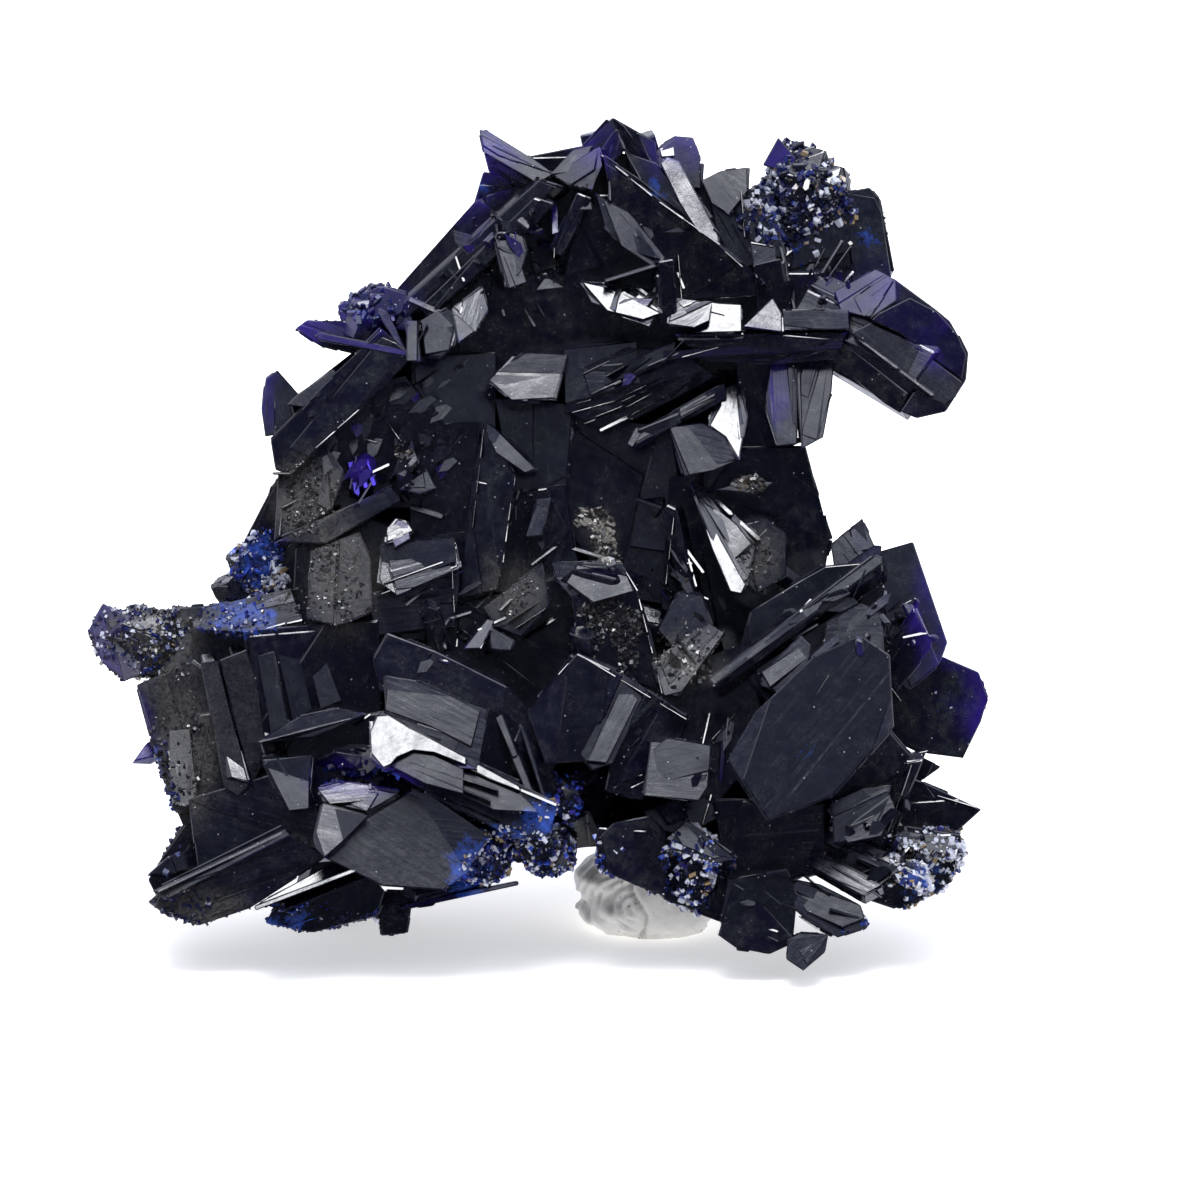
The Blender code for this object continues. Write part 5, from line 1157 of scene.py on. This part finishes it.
def grow_behind(growth, scatter, surface, count):
    """Crystals of the sides and the back. They stay inside the CAD model's box and its front outline."""
    dice = scatter.dice
    low, high = (Vector(corner) for corner in CAD_BOUNDS)
    for spot, normal, _ in scatter.places(scatter.outward < BACK_GROUND, count):
        along = scatter.axis(normal * BACK_UPRIGHT, BACK_WILD)
        if along.dot(normal) < BACK_STEEP:
            continue
        length = dice.uniform(*BACK_LONG)
        width = length * dice.uniform(*BACK_WIDE)
        tip = spot + along * (length + 0.6 * width) * MM
        inside = all(low[i] + width * MM / 2 < tip[i] < high[i] - width * MM / 2 for i in range(3))
        if inside and all(hidden(spot.lerp(tip, part), width, surface) for part in BACK_SPOTS):
            violet = dice.uniform(0.4, 0.8) if dice.random() < BACK_VIOLET else 0.0
            growth.crystal(spot, along, length, width, dice, look_along(dice, along, 0.0, violet))


# ---------------------------------------------------------------- putty

def creased(shown):
    """How far the putty stands out or in at a place of the display face, in millimetres."""
    fold = math.hypot(shown.x - CREASE_MIDDLE[0], 1.3 * (shown.y - CREASE_MIDDLE[1]))
    ragged = noise.noise(shown * 0.9)
    rings = math.sin(2.0 * math.pi * (fold + CREASE_RAGGED * ragged) / CREASE_GAP)
    left = min(1.0, max(0.0, (CREASE_MIDDLE[0] - shown.x) / 0.5))
    sway = SEAM_SWAY * math.sin(1.7 * shown.y)
    seam = math.exp(-((shown.x - CREASE_MIDDLE[0] - sway) / SEAM_WIDTH) ** 2)
    dent = noise.noise(shown * 0.45 + DENT_SPOT)
    grain = noise.noise(shown * 3.0)
    return CREASE_DEPTH * rings * left - SEAM_DEPTH * seam + DENT_DEPTH * dent + PUTTY_GRAIN * grain


def putty_piece():
    """The lump of putty: rounded, with folds pressed into its left part, and flat where it rests."""
    source = bpy.data.objects.new("putty_source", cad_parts["mounting_putty"].data.copy())
    bpy.context.scene.collection.objects.link(source)
    remesh = source.modifiers.new("remesh", "REMESH")
    remesh.mode = "VOXEL"
    remesh.voxel_size = PUTTY_VOXEL * MM
    mesh = bpy.data.meshes.new_from_object(source.evaluated_get(bpy.context.evaluated_depsgraph_get()))
    bpy.data.objects.remove(source)
    bm = bmesh.new()
    bm.from_mesh(mesh)
    bpy.data.meshes.remove(mesh)
    for _ in range(PUTTY_SMOOTHING):
        bmesh.ops.smooth_vert(bm, verts=bm.verts, factor=0.5,
                              use_axis_x=True, use_axis_y=True, use_axis_z=True)
    bm.normal_update()
    foot = min(vert.co.z for vert in bm.verts)
    moves = [(vert, vert.normal * creased(display(vert.co)) * MM) for vert in bm.verts]
    for vert, move in moves:
        if vert.co.z > foot + PUTTY_REST * MM:
            vert.co += move
        vert.co.z = max(vert.co.z, 0.0) if vert.co.z > foot + PUTTY_REST * MM else 0.0
    for face in bm.faces:
        face.smooth = True
    putty = link("putty", bm, putty_material())
    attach(putty, "root")
    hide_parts("mounting_putty")


# ---------------------------------------------------------------- materials

class Nodes:
    """A small helper that makes and joins the nodes of a material or a world."""

    def __init__(self, tree):
        self.tree = tree

    def feed(self, socket, value):
        """Joins a node's output to a socket, or sets the socket's own value."""
        if isinstance(value, bpy.types.NodeSocket):
            self.tree.links.new(value, socket)
        else:
            socket.default_value = value

    def node(self, kind, output=0, inputs=None, **settings):
        """Makes a node and gives one of its outputs."""
        made = self.tree.nodes.new(kind)
        for key, value in settings.items():
            setattr(made, key, value)
        for key, value in (inputs or {}).items():
            self.feed(made.inputs[key], value)
        return made.outputs[output]

    def math(self, operation, one, two=0.0, clamp=False):
        """A number from two numbers."""
        return self.node("ShaderNodeMath", inputs={0: one, 1: two}, operation=operation, use_clamp=clamp)

    def times(self, one, two):
        """The product of two numbers."""
        return self.math("MULTIPLY", one, two)

    def plus(self, one, two, clamp=False):
        """The sum of two numbers."""
        return self.math("ADD", one, two, clamp)

    def larger(self, one, two):
        """The larger of two numbers."""
        return self.math("MAXIMUM", one, two)

    def part(self, value):
        """What is left of a number after its whole part."""
        return self.math("FRACT", value)

    def scaled(self, value, low, high, new_low=0.0, new_high=1.0):
        """A number taken from one range to another and held inside it."""
        sockets = {"Value": value, 1: low, 2: high, 3: new_low, 4: new_high}
        return self.node("ShaderNodeMapRange", inputs=sockets)

    def mix(self, part, one, two):
        """A colour between two colours."""
        return self.node("ShaderNodeMix", output=2, inputs={0: part, 6: one, 7: two}, data_type="RGBA")

    def channels(self, name):
        """The three numbers of a colour layer."""
        parts = self.tree.nodes.new("ShaderNodeSeparateColor")
        self.feed(parts.inputs[0], self.node("ShaderNodeAttribute", output=0, attribute_name=name))
        return parts.outputs[0], parts.outputs[1], parts.outputs[2]

    def specks(self, where):
        """A few tiny round specks of dust."""
        cells = self.tree.nodes.new("ShaderNodeTexVoronoi")
        self.feed(cells.inputs["Vector"], where)
        cells.inputs["Scale"].default_value = 3.6
        red = self.node("ShaderNodeSeparateColor", inputs={0: cells.outputs["Color"]})
        few = self.scaled(self.part(self.times(red, 7.0)), 0.88, 0.91)
        return self.times(self.scaled(cells.outputs["Distance"], 0.14, 0.08), few)

    def spot(self):
        """The place on the piece, in millimetres."""
        here = self.node("ShaderNodeTexCoord", output=3)
        return self.node("ShaderNodeVectorMath", inputs={0: here, 3: 1.0 / MM}, operation="SCALE")

    def noise(self, where, scale, detail=4.0, rough=0.6):
        """Cloudy noise from 0 to 1."""
        sockets = {"Vector": where, "Scale": scale, "Detail": detail, "Roughness": rough}
        return self.node("ShaderNodeTexNoise", inputs=sockets)


class Shader(Nodes):
    """A new material with its nodes."""

    def __init__(self, name):
        self.material = bpy.data.materials.new(name)
        self.material.use_nodes = True
        super().__init__(self.material.node_tree)
        self.surface = self.tree.nodes["Principled BSDF"]

    def relief(self, height, strength, depth):
        """Fine relief from a height, as deep as depth in millimetres."""
        self.feed(self.surface.inputs["Normal"], self.node("ShaderNodeBump", inputs={
            "Strength": strength, "Distance": depth * MM, "Height": height}))


def colour(red, green, blue):
    """A colour with full strength."""
    return (red, green, blue, 1.0)


# The colours of grains: the darkest one, the two strong ones and the two pale ones. The first pale one is a
# painted glint (a painted highlight); the second is a pale tone of the grain's own, gold-brown in the druse.
DRUSE_COLOURS = (
    colour(0.0040, 0.0050, 0.0260),
    (colour(0.0260, 0.0110, 0.2600), colour(0.0240, 0.1000, 0.6600)),
    (colour(0.50, 0.52, 0.60), colour(0.26, 0.19, 0.10)),
)
MATRIX_COLOURS = (
    colour(0.0060, 0.0058, 0.0090),
    (colour(0.0500, 0.0430, 0.0370), colour(0.1900, 0.1600, 0.1250)),
    (colour(0.30, 0.28, 0.25), colour(0.16, 0.16, 0.18)),
)


def azurite_material():
    """Glossy, nearly black azurite: dusty, striated faces that turn violet and blue where it is thin."""
    s = Shader("azurite_crystal")
    spot = s.spot()
    along = s.node("ShaderNodeAttribute", output=1, attribute_name="along")
    chance, dull, tint = s.channels("kind")
    violet = s.node("ShaderNodeAttribute", output=3, attribute_name="kind")
    violet_zone, dull_zone, blue_zone = s.channels("zone")
    thin = s.node("ShaderNodeAttribute", output=2, attribute_name="thin")
    normal = s.node("ShaderNodeNewGeometry", output=3)
    across = s.node("ShaderNodeVectorMath", inputs={0: normal, 1: along}, operation="CROSS_PRODUCT")
    u = s.node("ShaderNodeVectorMath", output=1, inputs={0: spot, 1: across}, operation="DOT_PRODUCT")
    v = s.node("ShaderNodeVectorMath", output=1, inputs={0: spot, 1: along}, operation="DOT_PRODUCT")
    shift = s.times(chance, 90.0)
    streak_spot = s.node("ShaderNodeCombineXYZ", inputs={0: s.times(u, 5.0), 1: s.times(v, 0.4), 2: shift})
    streaks = s.noise(streak_spot, 1.0, 5.0, 0.62)
    shifted = s.node("ShaderNodeVectorMath", inputs={
        0: spot, 1: s.node("ShaderNodeCombineXYZ", inputs={0: shift, 2: shift})}, operation="ADD")
    waves = s.noise(shifted, 0.5, 2.0, 0.5)
    clouds = s.noise(shifted, 1.1, 5.0, 0.68)
    grit = s.noise(spot, 7.0, 4.0, 0.72)
    crumbs = s.noise(spot, 15.0, 2.0, 0.6)
    mottle = s.noise(shifted, 3.6, 6.0, 0.72)
    dull_part = s.times(s.larger(dull, dull_zone), s.scaled(grit, 0.2, 0.5, 0.6, 1.0))

    film = s.times(s.scaled(clouds, 0.41, 0.60), s.scaled(tint, 0.1, 1.0, 0.15, 1.0))
    film = s.times(film, s.scaled(mottle, 0.38, 0.60, 0.20, 1.50))
    deep = s.mix(tint, colour(0.0010, 0.0014, 0.0052), colour(0.0024, 0.0022, 0.0100))
    dusty = s.mix(film, deep, s.mix(chance, colour(0.0150, 0.0176, 0.0190), colour(0.0110, 0.0112, 0.0200)))
    lined = s.mix(s.scaled(streaks, 0.60, 0.74, 0.0, 0.5), dusty, colour(0.022, 0.024, 0.031))
    brown = s.mix(s.scaled(grit, 0.41, 0.60), colour(0.0040, 0.0034, 0.0034), colour(0.036, 0.032, 0.028))
    stone = s.mix(dull_part, lined, brown)
    dots = s.times(s.scaled(crumbs, 0.66, 0.72), s.scaled(clouds, 0.40, 0.60, 0.05, 0.5))
    stone = s.mix(dots, stone, colour(0.060, 0.062, 0.072))
    inner = s.scaled(s.plus(thin, s.times(waves, 0.6)), 0.25, 0.80)
    violet_part = s.larger(s.scaled(thin, 0.62, 0.95, 0.0, 0.65), s.times(violet_zone, inner))
    violet_part = s.larger(violet_part, s.times(violet, s.scaled(waves, 0.2, 0.6, 0.6, 1.0)))
    base = s.mix(violet_part, stone, colour(0.0160, 0.0060, 0.1300))
    base = s.mix(s.scaled(violet, 0.90, 1.00), base, colour(0.085, 0.045, 0.800))
    smear = s.math("SUBTRACT", blue_zone, s.scaled(s.noise(spot, 2.0, 6.0, 0.70), 0.34, 0.66, 0.0, 1.0))
    base = s.mix(s.scaled(smear, 0.0, 0.9, 0.0, 0.9), base, colour(0.020, 0.066, 0.360))
    speck = s.specks(spot)
    base = s.mix(speck, base, colour(0.26, 0.26, 0.29))
    s.feed(s.surface.inputs["Base Color"], base)

    rough = s.plus(s.scaled(clouds, 0.35, 0.70, 0.05, 0.20), s.scaled(mottle, 0.45, 0.70, 0.0, 0.16))
    rough = s.plus(rough, s.times(dull_part, 0.32))
    rough = s.plus(rough, s.times(s.larger(speck, dots), 0.4), clamp=True)
    s.feed(s.surface.inputs["Roughness"], rough)

    height = s.plus(s.times(streaks, s.scaled(chance, 0.0, 1.0, 0.10, 0.9)), s.times(waves, 2.6))
    height = s.plus(height, s.times(grit, s.plus(s.times(dull_part, 0.8), 0.16)))
    height = s.plus(height, s.times(mottle, 0.30))
    s.relief(height, 0.55, 0.035)
    s.surface.inputs["IOR"].default_value = AZURITE_IOR
    return s.material


def grain_material(name, dark, bright, glint_and_tone_colours):
    """Tiny crystals: nearly black, coloured, and some painted pale as glints (painted highlights), a few of
    these in a pale tone of their own.
    """
    s = Shader(name)
    chance, strength, white = s.channels("kind")
    spot = s.spot()
    cloud = s.scaled(s.noise(spot, 0.9, 4.0), 0.40, 0.60)
    own = s.part(s.times(chance, 5.3))
    hue = s.mix(chance, bright[0], bright[1])
    hued = s.times(strength, s.scaled(cloud, 0.0, 1.0, 0.15, 1.3))
    hued = s.math("MULTIPLY", hued, s.scaled(own, 0.1, 0.9, 0.30, 1.3), clamp=True)
    base = s.mix(hued, dark, hue)
    pick = s.part(s.times(chance, 13.7))
    # Painted glints: grains picked by the third channel get a pale base colour that stands for a highlight; a
    # few take the second pale colour, a tone of their own.
    glint_and_tone_amount = s.times(white, s.scaled(cloud, 0.0, 1.0, 0.4, 1.6))
    glint_and_tone_mask = s.scaled(s.math("SUBTRACT", glint_and_tone_amount, pick), 0.0, 0.12)
    odd = s.part(s.times(chance, 31.3))
    base = s.mix(glint_and_tone_mask, base, s.mix(s.scaled(odd, 0.76, 0.82), glint_and_tone_colours[0], glint_and_tone_colours[1]))
    s.feed(s.surface.inputs["Base Color"], base)
    grit = s.noise(spot, 22.0, 2.0)
    s.feed(s.surface.inputs["Roughness"], s.scaled(grit, 0.3, 0.7, 0.12, 0.38))
    s.relief(grit, 0.3, 0.02)
    s.surface.inputs["IOR"].default_value = AZURITE_IOR
    return s.material


def putty_material():
    """Off-white putty, a little grimy, with painted shade that darkens its hollows."""
    s = Shader("mounting_putty")
    spot = s.spot()
    clouds = s.noise(spot, 0.45, 4.0, 0.6)
    grime = s.noise(spot, 2.2, 5.0, 0.7)
    base = s.mix(s.scaled(clouds, 0.35, 0.65), colour(0.84, 0.82, 0.78), colour(0.93, 0.92, 0.89))
    base = s.mix(s.scaled(grime, 0.58, 0.78, 0.0, 0.5), base, colour(0.46, 0.42, 0.38))
    # Painted shade: the hollows of the folds, where pointiness is low, are darkened towards grey-brown.
    hollow = s.node("ShaderNodeNewGeometry", output=7)
    base = s.mix(s.scaled(hollow, 0.50, 0.44, 0.0, 0.6), base, colour(0.30, 0.28, 0.26))
    crumbs = s.noise(spot, 5.0, 1.0)
    base = s.mix(s.scaled(crumbs, 0.73, 0.76), base, colour(0.06, 0.055, 0.06))
    s.feed(s.surface.inputs["Base Color"], base)
    s.feed(s.surface.inputs["Roughness"], s.scaled(grime, 0.3, 0.7, 0.42, 0.62))
    s.relief(s.plus(s.noise(spot, 6.0, 4.0, 0.6), s.times(clouds, 2.0)), 0.6, 0.05)
    return s.material


def floor_material():
    """Plain matt white."""
    s = Shader("floor_white")
    white = s.mix(s.noise(s.spot(), 0.02), colour(0.90, 0.87, 0.82), colour(0.91, 0.88, 0.83))
    s.feed(s.surface.inputs["Base Color"], white)
    s.surface.inputs["Roughness"].default_value = 0.9
    s.surface.inputs["Specular IOR Level"].default_value = 0.0
    s.surface.inputs["Emission Color"].default_value = colour(0.97, 0.98, 1.0)
    s.surface.inputs["Emission Strength"].default_value = FLOOR_GLOW
    return s.material


# ---------------------------------------------------------------- studio

def make_floor():
    """A wide plain floor that the specimen stands on."""
    bm = bmesh.new()
    bmesh.ops.create_circle(bm, cap_ends=True, segments=96, radius=3.0)
    floor = link("floor", bm, floor_material())
    floor.location.z = -0.02 * MM
    floor.visible_glossy = False


def make_world():
    """Soft light: a dark room before the display face, bright above and behind, and wide glows."""
    world = bpy.data.worlds.new("studio")
    world.use_nodes = True
    bpy.context.scene.world = world
    s = Nodes(world.node_tree)
    way = s.node("ShaderNodeTexCoord")
    sky = s.node("ShaderNodeValToRGB", inputs={0: s.node("ShaderNodeSeparateXYZ", output=2, inputs={0: way})})
    ramp = sky.node.color_ramp
    for position, _ in SKY[1:-1]:
        ramp.elements.new(position)
    for element, (position, value) in zip(ramp.elements, SKY):
        element.position = position
        element.color = colour(value * 0.84, value * 0.95, value * 1.30)
    behind = s.scaled(s.node("ShaderNodeSeparateXYZ", output=1, inputs={0: way}), -0.10, 0.50)
    total = s.mix(behind, sky, colour(BEHIND * 0.95, BEHIND * 0.98, BEHIND * 1.12))
    for direction, inner, outer, value in GLOWS:
        glow = make_glow(s, way, direction, inner, outer, value)
        total = s.node("ShaderNodeVectorMath", inputs={0: total, 1: glow})
    s.feed(s.tree.nodes["Background"].inputs["Color"], total)


def make_glow(s, way, direction, inner, outer, value):
    """The brightness of a round soft light, which fades between two half angles."""
    near = s.node("ShaderNodeVectorMath", output=1, operation="DOT_PRODUCT",
                  inputs={0: way, 1: towards(direction).normalized()})
    steps = {0: near, 1: math.cos(math.radians(outer)), 2: math.cos(math.radians(inner)), 4: value}
    return s.node("ShaderNodeMapRange", inputs=steps, interpolation_type="SMOOTHSTEP")


def softbox(name, way, strength, spread):
    """A round soft light, infinitely far away in a direction (right, up, out) of the display face."""
    light = bpy.data.lights.new(name, "SUN")
    light.energy = strength
    light.angle = math.radians(spread)
    lamp = bpy.data.objects.new(name, light)
    lamp.rotation_mode = "QUATERNION"
    lamp.rotation_quaternion = towards(way).to_track_quat("Z", "Y")
    bpy.context.scene.collection.objects.link(lamp)


def make_camera():
    """The display view: level with the face's own out direction."""
    data = bpy.data.cameras.new("display")
    data.lens = LENS
    data.sensor_width = SENSOR
    data.clip_start = 0.01
    data.clip_end = 20.0
    camera = bpy.data.objects.new("display", data)
    camera.location = place(0.0, VIEW_HEIGHT, VIEW_DISTANCE)
    camera.rotation_mode = "QUATERNION"
    camera.rotation_quaternion = towards((0.0, 0.0, 1.0)).to_track_quat("Z", "Y")
    bpy.context.scene.collection.objects.link(camera)
    bpy.context.scene.camera = camera


class Front:
    """What stands foremost at a place of the display face."""

    def __init__(self, tree):
        self.layers = [tree]
        self.inward = towards((0.0, 0.0, -1.0))

    def add(self, growth):
        """Counts newly grown crystals in."""
        self.layers.append(BVHTree.FromBMesh(growth.bm))

    def __call__(self, right, up):
        """How far out it stands, in millimetres, or None where nothing does."""
        hits = [layer.ray_cast(place(right, up, FRONT), self.inward)[0] for layer in self.layers]
        return max((display(hit).z for hit in hits if hit is not None), default=None)


def make_cluster(stone, dice):
    """The cluster with worn edges. Also gives its surface for rays and its flat faces."""
    source = cluster_faces()
    source.normal_update()
    source.faces.index_update()
    tree = BVHTree.FromBMesh(source)
    groups = plane_groups(source)
    sheets = flat_sheets(source, groups)
    plane_looks = {group: look_along(dice, sheet.long) for group, sheet in sheets.items()}
    looks = [plane_looks[int(groups[face.index])] for face in source.faces]
    add_edge_points(source)
    cluster = crystal_piece("cluster_crystals", source, looks, tree, stone)
    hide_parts("azurite_cluster")
    return cluster, tree, sheets


def make_steps(sheets, tree, stone, dice):
    """The growth steps and ridges of the cluster's flat faces."""
    steps = Growth(tree)
    lines = Growth(tree)
    for _, sheet in sorted(sheets.items()):
        if sheet.area > LEAST_SHEET:
            grow_on_sheet(steps, lines, sheet, dice)
    crystal_piece("growth_steps", steps.bm, steps.looks, tree, stone, step=STEP_STEP)
    crystal_piece("striations", lines.bm, lines.looks, tree, stone, bevelled=False, step=STEP_STEP)


def make_placed(surface, tree, stone, dice):
    """The smaller faces and edges of the display side."""
    placed = Growth(tree)
    chips = Growth(tree)
    for facet in FACETS:
        placed.facet(facet, surface, dice)
    surface.add(placed)
    for stroke in STROKES:
        placed.stroke(stroke, surface, dice)
    surface.add(placed)
    for zone in ZONES:
        chips.chips(zone, surface, dice)
    crystal_piece("crystal_chips", chips.bm, chips.looks, tree, stone, bevelled=False)
    crystal_piece("placed_crystals", placed.bm, placed.looks, tree, stone)


def make_crystals(dice):
    """The cluster, its growth steps, the smaller crystals, its druse and its matrix."""
    stone = azurite_material()
    cluster, tree, sheets = make_cluster(stone, dice)
    make_steps(sheets, tree, stone, dice)
    make_placed(Front(tree), tree, stone, dice)
    scatter = Scatter(cluster.data, dice)
    small = Growth(tree)
    grow_tufts(small, scatter, TUFTS)
    grow_behind(small, scatter, Front(tree), BACK_CRYSTALS)
    crystal_piece("small_crystals", small.bm, small.looks, tree, stone)
    druse_piece("druse", scatter, DRUSE, grain_material("azurite_druse", *DRUSE_COLOURS))
    druse_piece("matrix", scatter, GRIT, grain_material("tan_matrix", *MATRIX_COLOURS))


def main():
    """Builds everything."""
    dice = random.Random(5)
    bpy.context.scene.view_settings.view_transform = "Standard"
    make_camera()
    make_floor()
    make_world()
    softbox("top_light", (0.0, 0.80, 0.45), 1.9, 26.0)
    make_crystals(dice)
    putty_piece()


main()
